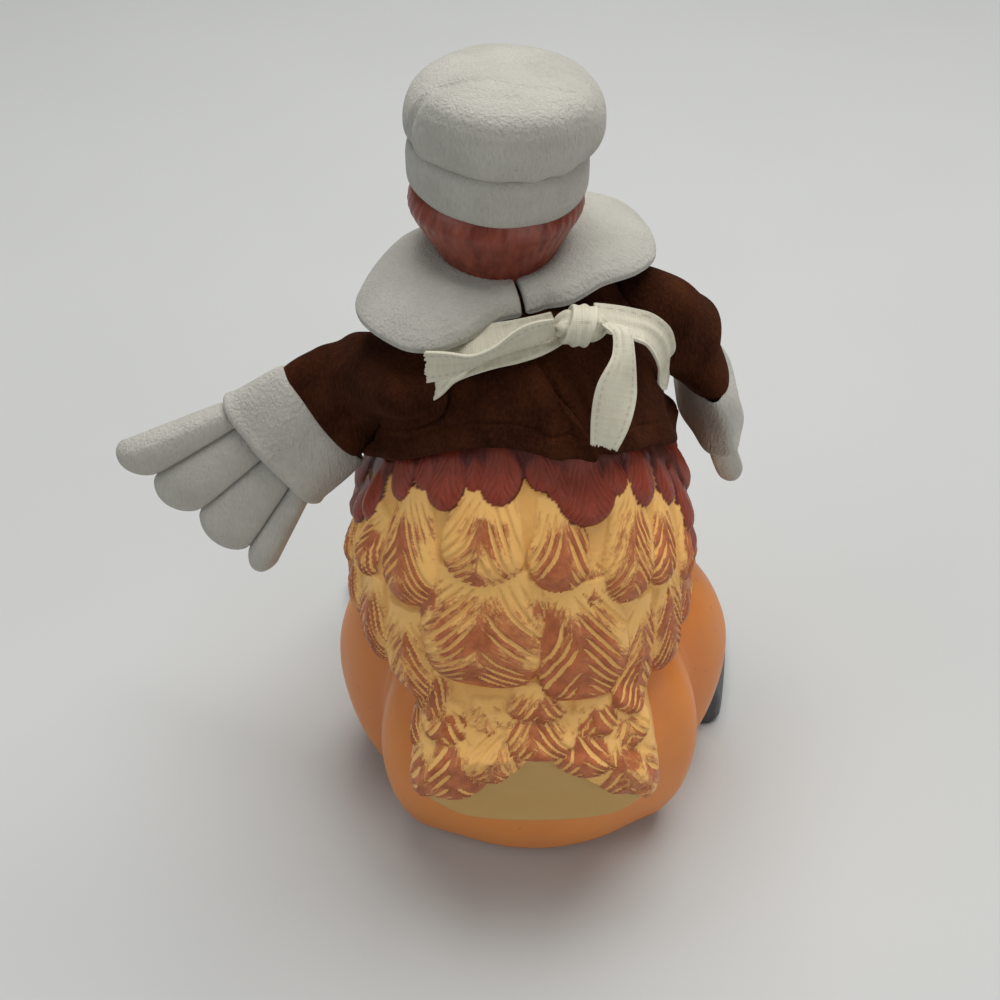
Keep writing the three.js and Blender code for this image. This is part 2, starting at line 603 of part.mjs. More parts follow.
// Fingers: stuffed lobes that swell and taper in the hand's plane
function finger(frame, { root, tip, half }) {
  const [from, to] = [new THREE.Vector2(...root), new THREE.Vector2(...tip)];
  const heading = to.clone().sub(from).normalize();
  const length = to.distanceTo(from);
  const swell = [[-0.12, 0.45], [0, 0.85], [0.3, 1], [0.75, 1], [1, 0.82], [1.12, 0.4]];
  return loft(swell.map(([t, full]) => {
    const wideHalf = lerp(half[0], half[1], clamp(t, 0, 1)) * full;
    return ringOf(10, (angle) => {
      const side = wideHalf * Math.cos(angle);
      const s = wristAt + from.x + heading.x * length * t - heading.y * side;
      const w = from.y + heading.y * length * t + heading.x * side;
      return frame.at(s, w, fingerThick * full * Math.sin(angle));
    });
  }));
}
function arm(side, place, fingers) {
  const frame = armFrame(place);
  const inner = armLoft(frame, [[cuffStart - 2, ...sleeveInCuff], [sleeveEnd, ...sleeveInCuff]]);
  const sleeve = armLoft(frame, sleeveStations).add(inner).add(ball(place.pivot, shoulderRadius, 16));
  add(`sleeve_${side}`, sleeve, brownVelour);
  const [half, thick] = sleeveInCuff;
  const outside = cuffThick + gap;
  const cuffOuter = armLoft(frame, [
    [cuffStart, half + outside - cuffRound, thick + outside - cuffRound],
    [cuffStart + 2, half + outside, thick + outside],
    [cuffEnd - 2, half + outside + cuffFlare, thick + outside],
    [cuffEnd, half + outside + 0.6 * cuffFlare, thick + outside - cuffRound],
  ]);
  const cuffInner = armLoft(frame, [
    [cuffStart - 1, half + gap, thick + gap], [sleeveEnd, half + gap, thick + gap],
    [cuffEnd + 1, half + gap + cuffFlare, thick + gap],
  ]);
  add(`cuff_${side}`, cuffOuter.subtract(cuffInner), whiteVelour);
  const root = loft([-wristHalf, wristHalf].map((w) => {
    return ringOf(20, (angle) => {
      return frame.at(wristAt + wristRadius * Math.sin(angle), w, wristRadius * Math.cos(angle));
    });
  }));
  const palm = armLoft(frame, [
    [wristAt, wristHalf - 0.3, wristRadius - 0.2], [wristAt + 5, wristHalf + 3, wristRadius - 0.2],
    [wristAt + 14, wristHalf + 5, wristRadius - 0.8],
  ]);
  const hand = fingers.reduce((made, one) => made.add(finger(frame, one)), root.add(palm));
  add(`hand_${side}`, hand, whiteVelour);
}
arm("left", leftArm, leftFingers);
arm("right", rightArm, rightFingers);

// Straps: strips that lie on the jacket, lifted off it near the knot
function strap(rows) {
  const keyed = rows.map((row, i) => [i, ...row]);
  const stations = Array.from({ length: (rows.length - 1) * strapSteps + 1 }, (_, i) => {
    const [turn, z, lift, half] = stationAt(keyed, i / strapSteps);
    return { angle: degToRad(turn), z, lift, half };
  });
  const layer = (out) => stations.map(({ angle, z, lift, half }, i) => {
    const before = stations[Math.max(i - 1, 0)];
    const after = stations[Math.min(i + 1, stations.length - 1)];
    const run = new THREE.Vector2(tieRadius * (after.angle - before.angle), after.z - before.z).normalize();
    return [-1, 0, 1].map((t) => {
      const turned = angle - (t * half * run.y) / tieRadius;
      const level = z + t * half * run.x;
      const folds = foldDepth * clamp((foldTop - level) / (foldTop - foldBottom), 0, 1);
      return bodyPoint(turned, level, jacketOutset + gap + lift + out + folds);
    });
  });
  return slab(layer(muslinThick), layer(0));
}
const knot = (outset) => {
  const [width, depth, height] = knotHalf.map((half) => half + outset);
  return solidFrom(new THREE.SphereGeometry(1, 16, 10).scale(width, depth, height).translate(...knotMiddle));
};
add("tie_strap_left", strap(strapLeft).subtract(knot(gap)), muslin);
add("tie_strap_right", strap(strapRight).subtract(knot(gap)), muslin);
add("apron_waistband", strap(waistband), muslin);
add("tie_knot", knot(0), muslin);

// Loose tails: strips along a line in space
function ribbon(rows) {
  const places = rows.map(({ at }) => vec(...at));
  const layer = (side) => rows.map(({ across, half }, i) => {
    const next = places[Math.min(i + 1, rows.length - 1)];
    const run = next.clone().sub(places[Math.max(i - 1, 0)]).normalize();
    const sideways = vec(...across).addScaledVector(run, -vec(...across).dot(run)).normalize();
    const face = run.clone().cross(sideways);
    return [-1, 0, 1].map((t) => {
      const onLine = places[i].clone().addScaledVector(sideways, t * half);
      return onLine.addScaledVector(face, (side * muslinThick) / 2);
    });
  });
  return slab(layer(1), layer(-1));
}
add("tie_tail_left", ribbon(tailLeft), muslin);
add("tie_tail_right", ribbon(tailRight), muslin);

// Apron panel, hanging in soft folds over the front of the jacket
const apronRows = Array.from({ length: 7 }, (_, i) => lerp(apronTop, apronBottom, i / 6));
const apronLayer = (out) => apronRows.map((z, i) => {
  return Array.from({ length: 21 }, (_, j) => {
    const t = j / 10 - 1;
    const [middle, half, back, front] = stationAt(bodyStations, z);
    const outset = apronStandOff + out + apronFoldDepth * (i / 6) * Math.cos(apronFolds * Math.PI * t);
    const x = tailMiddle + apronHalf * (0.9 + (0.1 * i) / 6) * t;
    const share = Math.abs((x - middle) / (half + outset)) ** bodySquareness;
    const depth = (back - front) / 2 + outset;
    return vec(x, (back + front) / 2 - depth * (1 - share) ** (1 / bodySquareness), z);
  });
});
add("apron_panel", slab(apronLayer(muslinThick), apronLayer(0)), muslin);

// Legs and shoes
function shoe({ middle, heading }, outset) {
  const along = new THREE.Vector2(...heading).normalize();
  const stations = [
    [-1, 0.55, 0.7], [-0.86, 0.85, 0.95], [-0.4, 0.95, 1], [0.2, 1, 0.85],
    [0.7, 0.95, 0.7], [0.93, 0.7, 0.55], [1, 0.4, 0.4],
  ];
  return loft(stations.map(([t, wideShare, tallShare]) => {
    return ringOf(20, (angle) => {
      const side = (shoeHalfWidth * wideShare + outset) * Math.cos(angle);
      const run = (shoeHalfLength + outset) * t;
      const z = Math.max(0, (shoeHeight * tallShare + outset) * (0.35 + 0.65 * Math.sin(angle)));
      return vec(middle[0] + along.x * run + along.y * side, middle[1] + along.y * run - along.x * side, z);
    });
  })).subtract(pumpkinGrown);
}

// A leg ends inside its shoe, which is cut out of it
function leg(points) {
  const path = new THREE.CatmullRomCurve3(points.map((p) => vec(...p)));
  const shape = new THREE.Shape(ringOf(12, (angle) => {
    return new THREE.Vector2(legRadius * Math.cos(angle), legRadius * Math.sin(angle));
  }));
  return solidFrom(new THREE.ExtrudeGeometry(shape, { extrudePath: path, steps: 10, bevelEnabled: false }));
}
for (const [side, place, points] of [["left", shoeLeft, legLeft], ["right", shoeRight, legRight]]) {
  const shank = cutFrom(leg(points), [pumpkinGrown, bodyGrown, shoe(place, gap)]);
  add(`shoe_${side}`, shoe(place, 0), shoeGrey);
  add(`leg_${side}`, shank, billYellow);
}

export default group;
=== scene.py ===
import math
import bpy
import numpy as np
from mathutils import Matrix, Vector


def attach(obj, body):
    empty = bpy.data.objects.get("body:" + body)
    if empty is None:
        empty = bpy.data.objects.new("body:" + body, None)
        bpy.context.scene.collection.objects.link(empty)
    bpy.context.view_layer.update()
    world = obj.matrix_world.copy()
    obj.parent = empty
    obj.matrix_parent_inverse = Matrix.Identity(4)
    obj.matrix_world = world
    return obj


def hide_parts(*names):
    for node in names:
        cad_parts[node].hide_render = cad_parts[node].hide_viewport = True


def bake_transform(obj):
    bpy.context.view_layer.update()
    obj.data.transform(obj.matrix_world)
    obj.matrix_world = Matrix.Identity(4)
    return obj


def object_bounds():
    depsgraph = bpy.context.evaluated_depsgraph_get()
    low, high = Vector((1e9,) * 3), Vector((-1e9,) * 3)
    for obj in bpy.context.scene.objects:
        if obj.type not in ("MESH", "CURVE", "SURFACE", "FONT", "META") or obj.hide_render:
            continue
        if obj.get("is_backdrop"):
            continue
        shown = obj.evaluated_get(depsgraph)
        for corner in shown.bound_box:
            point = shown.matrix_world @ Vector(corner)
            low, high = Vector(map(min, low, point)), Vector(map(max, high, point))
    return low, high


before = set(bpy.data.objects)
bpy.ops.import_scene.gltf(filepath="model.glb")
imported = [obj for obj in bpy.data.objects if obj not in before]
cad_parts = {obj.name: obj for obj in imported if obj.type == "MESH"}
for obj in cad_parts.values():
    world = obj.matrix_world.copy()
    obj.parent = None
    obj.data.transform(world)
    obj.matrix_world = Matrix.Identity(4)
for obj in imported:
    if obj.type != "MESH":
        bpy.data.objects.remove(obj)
cadLow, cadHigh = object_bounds()
print("frame loaded:", len(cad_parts), "solids")

mm = 0.001  # all shapes below are written in millimetres


# Small helpers for shaping
def clearSelection():
    if bpy.context.object and bpy.context.object.mode != "OBJECT":
        bpy.ops.object.mode_set(mode="OBJECT")
    bpy.ops.object.select_all(action="DESELECT")


def pickUp(piece):
    clearSelection()
    piece.select_set(True)
    bpy.context.view_layer.objects.active = piece


def smoothStep(low, high, value):
    t = np.clip((value - low) / (high - low), 0, 1)
    return t * t * (3 - 2 * t)


def signedPower(value, power):
    return np.sign(value) * np.abs(value) ** power


def bell(off, wide):  # 1 in the middle, fading to 0 on both sides
    return np.exp(-((off / wide) ** 2))


def atEnds(v):  # true in the first and last rows of a grid
    return (v < 1e-6) | (v > 1 - 1e-6)


def unit(vector):
    vector = np.asarray(vector, float)
    return vector / np.linalg.norm(vector, axis=-1, keepdims=True)


def alongRows(rows, keys, free=False):  # smooth curve through a table whose first column is the key
    table = np.asarray(rows, float)
    at, values = table[:, 0], table[:, 1:]
    slope = np.gradient(values, at, axis=0)
    if not free:  # no swing past the table's own values
        rise = np.diff(values, axis=0) / np.diff(at)[:, None]
        same = rise[:-1] * rise[1:] > 0
        total = np.where(same, rise[:-1] + rise[1:], 1)
        slope[1:-1] = np.where(same, 2 * rise[:-1] * rise[1:] / total, 0)
    keys = np.clip(keys, at[0], at[-1])
    i = np.clip(np.searchsorted(at, keys) - 1, 0, len(at) - 2)
    step = (at[i + 1] - at[i])[..., None]
    t = ((keys - at[i]) / (at[i + 1] - at[i]))[..., None]
    start = (2 * t**3 - 3 * t**2 + 1) * values[i] + (t**3 - 2 * t**2 + t) * step * slope[i]
    finish = (3 * t**2 - 2 * t**3) * values[i + 1] + (t**3 - t**2) * step * slope[i + 1]
    return start + finish


def alongLine(points, keys):  # smooth curve through points, keyed from 0 to 1 by length
    points = np.asarray(points, float)
    length = np.concatenate([[0], np.cumsum(np.linalg.norm(np.diff(points[:, :3], axis=0), axis=1))])
    return alongRows(np.column_stack([length / length[-1], points]), keys, free=True)


def headingOf(follow, rows, v, step=0.01):  # the way a curve runs, from two spots close together
    return follow(rows, np.minimum(v + step, 1)) - follow(rows, np.maximum(v - step, 0))


def heightAt(rows, places):  # straight lines through rows of place and height
    return np.interp(places, *np.transpose(rows))


def softWaves(places, size, seed, count=7):  # gentle lumps, the same on every run
    draw = np.random.default_rng(seed)
    total = np.zeros(len(places))
    for _ in range(count):
        run = unit(draw.normal(size=3)) * 2 * np.pi / size * draw.uniform(0.7, 1.5)
        total += np.sin(places @ run + draw.uniform(0, 2 * np.pi))
    return total / count


def startGrid(name, columns, rows):
    clearSelection()
    bpy.ops.mesh.primitive_grid_add(x_subdivisions=columns, y_subdivisions=rows, size=2)
    piece = bpy.context.object
    piece.name = piece.data.name = name
    places = np.empty(len(piece.data.vertices) * 3, np.float32)
    piece.data.vertices.foreach_get("co", places)
    flat = (places.reshape(-1, 3)[:, :2].astype(float) + 1) / 2
    return piece, flat[:, 0], flat[:, 1]


def place(piece, points):
    piece.data.vertices.foreach_set("co", (points * mm).astype(np.float32).ravel())
    piece.data.update()


def keep(piece, name, values):  # a value for each point, read by the finishes
    kind = "FLOAT" if values.ndim == 1 else "FLOAT_VECTOR"
    layer = piece.data.attributes.new(name, kind, "POINT")
    layer.data.foreach_set("value" if kind == "FLOAT" else "vector", values.astype(np.float32).ravel())


def closeUp(piece):  # joins the grid's edges where they meet, and turns the faces out
    pickUp(piece)
    bpy.ops.object.mode_set(mode="EDIT")
    bpy.ops.mesh.select_all(action="SELECT")
    bpy.ops.mesh.remove_doubles(threshold=1e-6)
    bpy.ops.mesh.dissolve_degenerate(threshold=1e-7)
    bpy.ops.mesh.normals_make_consistent(inside=False)
    bpy.ops.object.mode_set(mode="OBJECT")
    bpy.ops.object.shade_smooth()
    return piece


def skin(name, columns, rows, pointAt):  # a closed skin: u runs round it, v from end to end
    piece, u, v = startGrid(name, columns, rows)
    place(piece, pointAt(u, v))
    return closeUp(piece)


def thicken(piece, thick):  # gives a sheet its thickness and rounds its edges
    pickUp(piece)
    wall = piece.modifiers.new("wall", "SOLIDIFY")
    wall.thickness, wall.offset, wall.use_even_offset = thick * mm, 0.0, False
    bpy.ops.object.modifier_apply(modifier="wall")
    soft = piece.modifiers.new("soft", "SUBSURF")
    soft.levels = soft.render_levels = 1
    bpy.ops.object.modifier_apply(modifier="soft")
    bpy.ops.object.shade_smooth()
    return piece


def cloth(name, columns, rows, pointAt, thick):  # an open sheet, given its thickness
    piece, u, v = startGrid(name, columns, rows)
    place(piece, pointAt(u, v))
    return thicken(piece, thick)


def finishPiece(piece, finish, body, slot, *nodes):
    piece.data.materials.clear()
    piece.data.materials.append(finish)
    if body:
        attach(piece, body)
    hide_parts(*nodes)


# Finishes
def newFinish(name, colour, roughness):
    finish = bpy.data.materials.new(name)
    finish.use_nodes = True
    finish.diffuse_color = (*colour, 1)
    shader = finish.node_tree.nodes["Principled BSDF"]
    shader.inputs["Base Color"].default_value = (*colour, 1)
    shader.inputs["Roughness"].default_value = roughness
    return finish, finish.node_tree, shader


def feed(tree, socket, value):  # links an output to the socket, or sets a plain value
    if isinstance(value, bpy.types.NodeSocket):
        tree.links.new(value, socket)
    else:
        socket.default_value = value


def addNode(tree, kind, inputs=None, **settings):
    made = tree.nodes.new("ShaderNode" + kind)
    for name, value in settings.items():
        setattr(made, name, value)
    for name, value in (inputs or {}).items():
        feed(tree, made.inputs[name], value)
    return made


def objectSpot(tree, stretch=(1, 1, 1)):
    spot = addNode(tree, "TexCoord").outputs["Object"]
    return addNode(tree, "Mapping", {"Vector": spot, "Scale": stretch}).outputs["Vector"]


def mottle(tree, spot, scale, detail=2.0, rough=0.5):
    made = addNode(tree, "TexNoise", {"Vector": spot, "Scale": scale, "Detail": detail, "Roughness": rough})
    return made.outputs["Fac"]


def reach(tree, value, low, high, toLow=0.0, toHigh=1.0):
    sockets = {"Value": value, "From Min": low, "From Max": high, "To Min": toLow, "To Max": toHigh}
    return addNode(tree, "MapRange", sockets, interpolation_type="SMOOTHSTEP").outputs["Result"]


def sums(tree, first, second=0.0, operation="ADD"):
    made = addNode(tree, "Math", operation=operation)
    feed(tree, made.inputs[0], first)
    feed(tree, made.inputs[1], second)
    return made.outputs[0]


def times(tree, first, second):
    return sums(tree, first, second, "MULTIPLY")


def less(tree, first, second):
    return sums(tree, first, second, "SUBTRACT")


def mixColour(tree, factor, first, second):  # sockets 6 and 7 and output 2 are the colours
    made = addNode(tree, "Mix", data_type="RGBA")
    feed(tree, made.inputs[0], factor)
    for index, colour in ((6, first), (7, second)):
        feed(tree, made.inputs[index], (*colour, 1) if isinstance(colour, tuple) else colour)
    return made.outputs[2]


def raised(tree, shader, height, strength, distance):
    made = addNode(tree, "Bump", {"Height": height, "Strength": strength, "Distance": distance})
    tree.links.new(made.outputs["Normal"], shader.inputs["Normal"])


def stored(tree, name, output="Fac"):
    return addNode(tree, "Attribute", attribute_name=name).outputs[output]


def makeVelour(name, colour, dark, sheenTint, sheen, napScale):
    finish, tree, shader = newFinish(name, colour, 0.95)
    patches = mottle(tree, objectSpot(tree), 70, 4.0, 0.6)
    nap = mottle(tree, objectSpot(tree, (1, 1, 0.35)), napScale, 2.0, 0.6)
    wales = mottle(tree, objectSpot(tree, (1, 1, 0.12)), 620, 1.0)
    tone = sums(tree, reach(tree, patches, 0.3, 0.7, 0.0, 0.6), reach(tree, nap, 0.3, 0.75, 0.0, 0.4))
    colourOut = mixColour(tree, tone, dark, colour)
    lint = reach(tree, mottle(tree, objectSpot(tree), 700, 0.0), 0.87, 0.9)
    colourOut = mixColour(tree, times(tree, lint, 0.55), colourOut, tuple(0.55 * c for c in dark))
    tree.links.new(colourOut, shader.inputs["Base Color"])
    shader.inputs["Sheen Weight"].default_value = sheen
    shader.inputs["Sheen Roughness"].default_value = 0.45
    shader.inputs["Sheen Tint"].default_value = (*sheenTint, 1)
    shader.inputs["Specular IOR Level"].default_value = 0.08
    pile = sums(tree, nap, times(tree, wales, 0.6))
    raised(tree, shader, pile, 0.75, 0.0008)
    return finish


def makeMuslin(name, colour, dark):
    finish, tree, shader = newFinish(name, colour, 0.9)
    spot = stored(tree, "weave", "Vector")
    threads = []
    for direction in ("X", "Y"):
        wave = addNode(tree, "TexWave", {"Vector": spot, "Scale": 0.72, "Distortion": 0.6, "Detail": 1.0},
                       wave_type="BANDS", bands_direction=direction, wave_profile="SIN")
        threads.append(wave.outputs["Fac"])
    weave = times(tree, threads[0], threads[1])
    drawnOut = addNode(tree, "Mapping", {"Vector": spot, "Scale": (0.12, 1.6, 1)}).outputs["Vector"]
    slub = mottle(tree, drawnOut, 1.0, 2.0)
    worn = mottle(tree, objectSpot(tree), 160, 3.0)
    tone = sums(tree, times(tree, weave, 0.35), reach(tree, slub, 0.3, 0.7, 0.0, 0.4))
    colourOut = mixColour(tree, sums(tree, tone, reach(tree, worn, 0.3, 0.7, 0.0, 0.25)), dark, colour)
    seam = stored(tree, "stitch")
    colourOut = mixColour(tree, times(tree, seam, 0.5), colourOut, tuple(0.6 * c for c in dark))
    tree.links.new(colourOut, shader.inputs["Base Color"])
    shader.inputs["Sheen Weight"].default_value = 0.12
    shader.inputs["Specular IOR Level"].default_value = 0.2
    raised(tree, shader, less(tree, weave, times(tree, seam, 0.8)), 0.4, 0.0004)
    return finish


def makePumpkinPaint():
    colour = (0.78, 0.275, 0.055)
    finish, tree, shader = newFinish("pumpkinPaint", colour, 0.42)
    cloudy = mottle(tree, objectSpot(tree), 22, 3.0)
    brushed = mottle(tree, objectSpot(tree, (1, 1, 0.25)), 120, 3.0, 0.6)
    tone = sums(tree, reach(tree, cloudy, 0.3, 0.7, 0, 0.7), reach(tree, brushed, 0.3, 0.7, 0, 0.3))
    colourOut = mixColour(tree, tone, (0.68, 0.22, 0.04), colour)
    # Painted shade: the rib valleys are darkened towards a deeper orange
    hollow = stored(tree, "valley")
    colourOut = mixColour(tree, times(tree, hollow, 0.35), colourOut, (0.60, 0.17, 0.04))
    fleck = reach(tree, mottle(tree, objectSpot(tree), 330, 0.0), 0.80, 0.84)
    colourOut = mixColour(tree, times(tree, fleck, 0.3), colourOut, (0.35, 0.13, 0.04))
    tree.links.new(colourOut, shader.inputs["Base Color"])
    tree.links.new(reach(tree, brushed, 0.2, 0.8, 0.36, 0.52), shader.inputs["Roughness"])
    raised(tree, shader, sums(tree, cloudy, times(tree, brushed, 0.25)), 0.12, 0.001)
    return finish


def makeFeatherPaint():
    gold, goldShaded = (0.97, 0.55, 0.165), (0.74, 0.35, 0.08)
    red, redShaded = (0.34, 0.047, 0.018), (0.085, 0.008, 0.003)
    brown, brownPale, cream = (0.3, 0.044, 0.014), (0.52, 0.125, 0.045), (0.57, 0.35, 0.112)
    finish, tree, shader = newFinish("featherPaint", gold, 0.45)
    barb = stored(tree, "barb", "Vector")
    apart = addNode(tree, "SeparateXYZ", {"Vector": barb})
    number = apart.outputs["X"]
    whole = sums(tree, sums(tree, number, 0.5), operation="FLOOR")
    between = addNode(tree, "CombineXYZ", {"X": whole, "Y": apart.outputs["Z"]}).outputs["Vector"]
    luck = addNode(tree, "TexWhiteNoise", {"Vector": between}).outputs["Value"]
    streakSpot = addNode(tree, "Mapping", {"Vector": barb, "Scale": (2.2, 0.3, 1.0)}).outputs["Vector"]
    bristle = mottle(tree, streakSpot, 1.6, 4.0, 0.7)
    blotch = mottle(tree, objectSpot(tree), 240, 3.0, 0.6)
    grain = mottle(tree, objectSpot(tree), 1100, 2.0, 0.6)
    low = stored(tree, "low")
    cut = stored(tree, "cut")
    ragged = times(tree, less(tree, grain, 0.5), 0.16)
    offLine = less(tree, sums(tree, number, 1.0, "FLOORED_MODULO"), 0.5)
    offLine = sums(tree, offLine, operation="ABSOLUTE")
    width = times(tree, cut, 0.27)
    line = reach(tree, sums(tree, less(tree, width, offLine), ragged), -0.02, 0.07)
    # Painted shade: the gold darkens in the low gaps between feathers and at their edges
    gapShade = reach(tree, sums(tree, low, less(tree, blotch, 0.5)), 0.55, 1.15, 0, 0.5)
    goldOut = mixColour(tree, gapShade, gold, goldShaded)
    dry = sums(tree, stored(tree, "brown"), times(tree, less(tree, bristle, 0.5), 0.8))
    dry = sums(tree, dry, times(tree, less(tree, luck, 0.5), 0.3))
    dry = reach(tree, sums(tree, dry, ragged), 0.22, 0.5)
    dry = times(tree, dry, less(tree, 1.0, line))
    dryTone = mixColour(tree, reach(tree, blotch, 0.3, 0.7), brown, brownPale)
    goldOut = mixColour(tree, times(tree, dry, 0.9), goldOut, dryTone)
    redOut = mixColour(tree, reach(tree, bristle, 0.25, 0.75), tuple(0.6 * c for c in red), red)
    # Painted shade: the red darkens in the carved lines and, strongly, in the gaps between feathers
    redOut = mixColour(tree, times(tree, line, 0.25), redOut, redShaded)
    redOut = mixColour(tree, reach(tree, low, 0.05, 0.75, 0, 0.92), redOut, redShaded)
    rub = reach(tree, sums(tree, bristle, grain), 1.12, 1.4)
    redOut = mixColour(tree, times(tree, rub, 0.3), redOut, (0.5, 0.13, 0.07))
    colourOut = mixColour(tree, stored(tree, "red"), goldOut, redOut)
    creamOut = mixColour(tree, reach(tree, blotch, 0.3, 0.7, 0, 0.5), cream, (0.54, 0.34, 0.105))
    colourOut = mixColour(tree, stored(tree, "cream"), colourOut, creamOut)
    tree.links.new(colourOut, shader.inputs["Base Color"])
    tree.links.new(reach(tree, bristle, 0.2, 0.8, 0.32, 0.48), shader.inputs["Roughness"])
    shader.inputs["Specular IOR Level"].default_value = 0.4
    brushed = sums(tree, bristle, times(tree, blotch, 0.4))
    carved = less(tree, brushed, times(tree, line, 1.2))
    raised(tree, shader, carved, 0.3, 0.0006)
    return finish


def makeStreakPaint(name, colour, dark, pale, roughness):
    finish, tree, shader = newFinish(name, colour, roughness)
    streaks = mottle(tree, objectSpot(tree, (1, 1, 0.1)), 420, 3.0, 0.6)
    cloudy = mottle(tree, objectSpot(tree), 70, 3.0)
    colourOut = mixColour(tree, reach(tree, streaks, 0.32, 0.62), dark, colour)
    colourOut = mixColour(tree, reach(tree, streaks, 0.6, 0.78, 0, 0.6), colourOut, pale)
    colourOut = mixColour(tree, reach(tree, cloudy, 0.4, 0.75, 0, 0.4), colourOut, dark)
    tree.links.new(colourOut, shader.inputs["Base Color"])
    dull = reach(tree, cloudy, 0.2, 0.8, roughness - 0.06, roughness + 0.08)
    tree.links.new(dull, shader.inputs["Roughness"])
    raised(tree, shader, streaks, 0.2, 0.0008)
    return finish


# Velour: colour, darker colour, tint and weight of the sheen, scale of the nap
velours = {
    "whiteVelour": [(0.52, 0.508, 0.457), (0.43, 0.419, 0.374), (1, 0.98, 0.94), 0.16, 1500],
    "brownVelour": [(0.066, 0.019, 0.0066), (0.018, 0.0042, 0.0015), (0.32, 0.1, 0.035), 0.08, 1300],
}
# Streaked paints: colour, darker and paler colours, roughness
streaked = {
    "headPaint": [(0.27, 0.055, 0.028), (0.15, 0.024, 0.013), (0.42, 0.12, 0.062), 0.36],
    "billPaint": [(0.72, 0.36, 0.09), (0.56, 0.25, 0.06), (0.80, 0.47, 0.15), 0.4],
    "eyeGloss": [(0.012, 0.01, 0.009), (0.008, 0.007, 0.006), (0.02, 0.016, 0.013), 0.12],
    "shoePaint": [(0.055, 0.058, 0.062), (0.035, 0.037, 0.04), (0.085, 0.09, 0.095), 0.42],
}
whiteVelour, brownVelour = (makeVelour(name, *look) for name, look in velours.items())
muslin = makeMuslin("muslin", (0.77, 0.735, 0.60), (0.62, 0.585, 0.455))
pumpkinPaint = makePumpkinPaint()
featherPaint = makeFeatherPaint()
streakPaints = [makeStreakPaint(name, *look) for name, look in streaked.items()]
headPaint, billPaint, eyeGloss, shoePaint = streakPaints
print("finishes made")


# Pumpkin
pumpkin = {
    "profile": [[0, 0], [44, 0], [49, 0.4], [54.5, 4], [60, 15], [63.6, 30], [64.6, 42], [63, 54],
                [58.2, 65], [50, 74], [36, 82], [18, 87], [0, 88]],
    "valleys": [33, 153, 208, 270, 332], "depth": 9.5, "width": 10, "round": 3, "belt": 64.6,
    "swell": [[47, 12, 6.5], [138, 9, 5]],
}


def pumpkinPoint(u, v):
    radius, z = alongLine(np.pad(pumpkin["profile"], ((0, 0), (0, 1))), v)[:, :2].T
    radius = np.where(atEnds(v), 0, np.maximum(radius, 0))
    z = np.maximum(z, 0)
    turn = 2 * np.pi * u
    hollow = np.zeros(len(u))
    for at in pumpkin["valleys"]:
        off = (np.degrees(turn) - at + 540) % 360 - 180
        off = np.sqrt(off**2 + pumpkin["round"] ** 2) - pumpkin["round"]
        hollow = np.maximum(hollow, np.exp(-off / pumpkin["width"]))
    radius = radius - pumpkin["depth"] * (radius / pumpkin["belt"]) ** 2 * hollow
    for at, wide, high in pumpkin["swell"]:
        bulge = bell(np.degrees(turn) - at, wide)
        radius = radius + high * (radius / pumpkin["belt"]) ** 2 * bulge
    points = np.column_stack([radius * np.cos(turn), radius * np.sin(turn), z])
    lump = 0.35 * softWaves(points, 46, 3) * smoothStep(0, 12, z)
    points[:, :2] *= (1 + lump / 60)[:, None]
    return points, hollow


pumpkinShell, u, v = startGrid("pumpkinShell", 220, 110)
points, hollow = pumpkinPoint(u, v)
place(pumpkinShell, points)
keep(pumpkinShell, "valley", hollow)
closeUp(pumpkinShell)
finishPiece(pumpkinShell, pumpkinPaint, "figure", "pumpkin_paint", "pumpkin_shell")
print("pumpkin made")

# Body: stations are height, middle in x, half width, back y, front y
body = {
    "stations": [[70, 2, 42, 60, -34], [84, 4, 48.5, 63, -42], [97, 5, 50, 61.5, -44],
                 [111, 4.5, 48.5, 59.5, -44], [126, 4, 44, 56, -42], [133, 4, 40.5, 54, -40],
                 [140, 4, 38, 51, -38], [150, 4.5, 36.5, 43.5, -36], [160, 5.5, 35.5, 38.5, -34],
                 [171, 7.5, 32, 33.5, -30], [180, 9.5, 23.5, 24, -23], [185, 11, 16, 16, -17],
                 [190.5, 11.5, 13.2, 12.6, -14.6]],
    "square": 2.3, "middle": (3, 8), "neck": (11, -0.5), "low": 34, "top": 190.4,
    "fineBelow": 154, "fineRows": 226, "rows": 240, "rear": 300, "columns": 400,
    "rearFrom": -12, "rearWide": 204, "leanFrom": 150, "leanTo": 178, "core": 36.0, "soft": 2.5, "sunk": 1.6,
}
tail = {
    "stations": [[38, 33, 98, 60, 42], [56, 36, 92, 54, 38], [63, 35.5, 80, 52, 36], [67, 34.5, 74, 52, 36],
                 [69.5, 32.5, 71.5, 52, 38]],
    "middle": 1, "lean": 0.15, "leanAt": 55, "bulge": 0.8, "core": 20.0, "faceFrom": 57, "faceTo": 128,
}
# Lines round the body, as turn and height: cover of the jacket, foot of the red, top of the cream face
edges = {
    "hem": [[-12, 126], [0, 130], [20, 138], [45, 150], [90, 157], [135, 150], [160, 138], [180, 130],
            [192, 126], [270, 112], [348, 126]],
    "red": [[-12, 116], [17, 128], [40, 143], [60, 148], [80, 151], [110, 148], [136, 144], [152, 136],
            [165, 122], [192, 112], [270, 112], [348, 116]],
    "face": [[57, 43], [63, 47.2], [67, 50], [71, 47.6], [76, 52.5], [81, 57], [86.5, 65], [93.3, 69.2],
             [100, 65], [105, 59.6], [108, 57.4], [112.6, 50.6], [117, 51.5], [121.5, 45.6], [128, 41]],
}


def bodyPoint(turn, z, outset):
    middle, half, back, front = alongRows(body["stations"], z).T
    power = 2 / body["square"]
    x = middle + (half + outset) * signedPower(np.cos(turn), power)
    y = (back + front) / 2 + ((back - front) / 2 + outset) * signedPower(np.sin(turn), power)
    return np.column_stack([x, y, z])


def inBody(x, y, z):
    middle, half, back, front = alongRows(body["stations"], z).T
    across = np.abs((x - middle) / half) ** body["square"]
    return across + np.abs((y - (back + front) / 2) / ((back - front) / 2)) ** body["square"] < 1


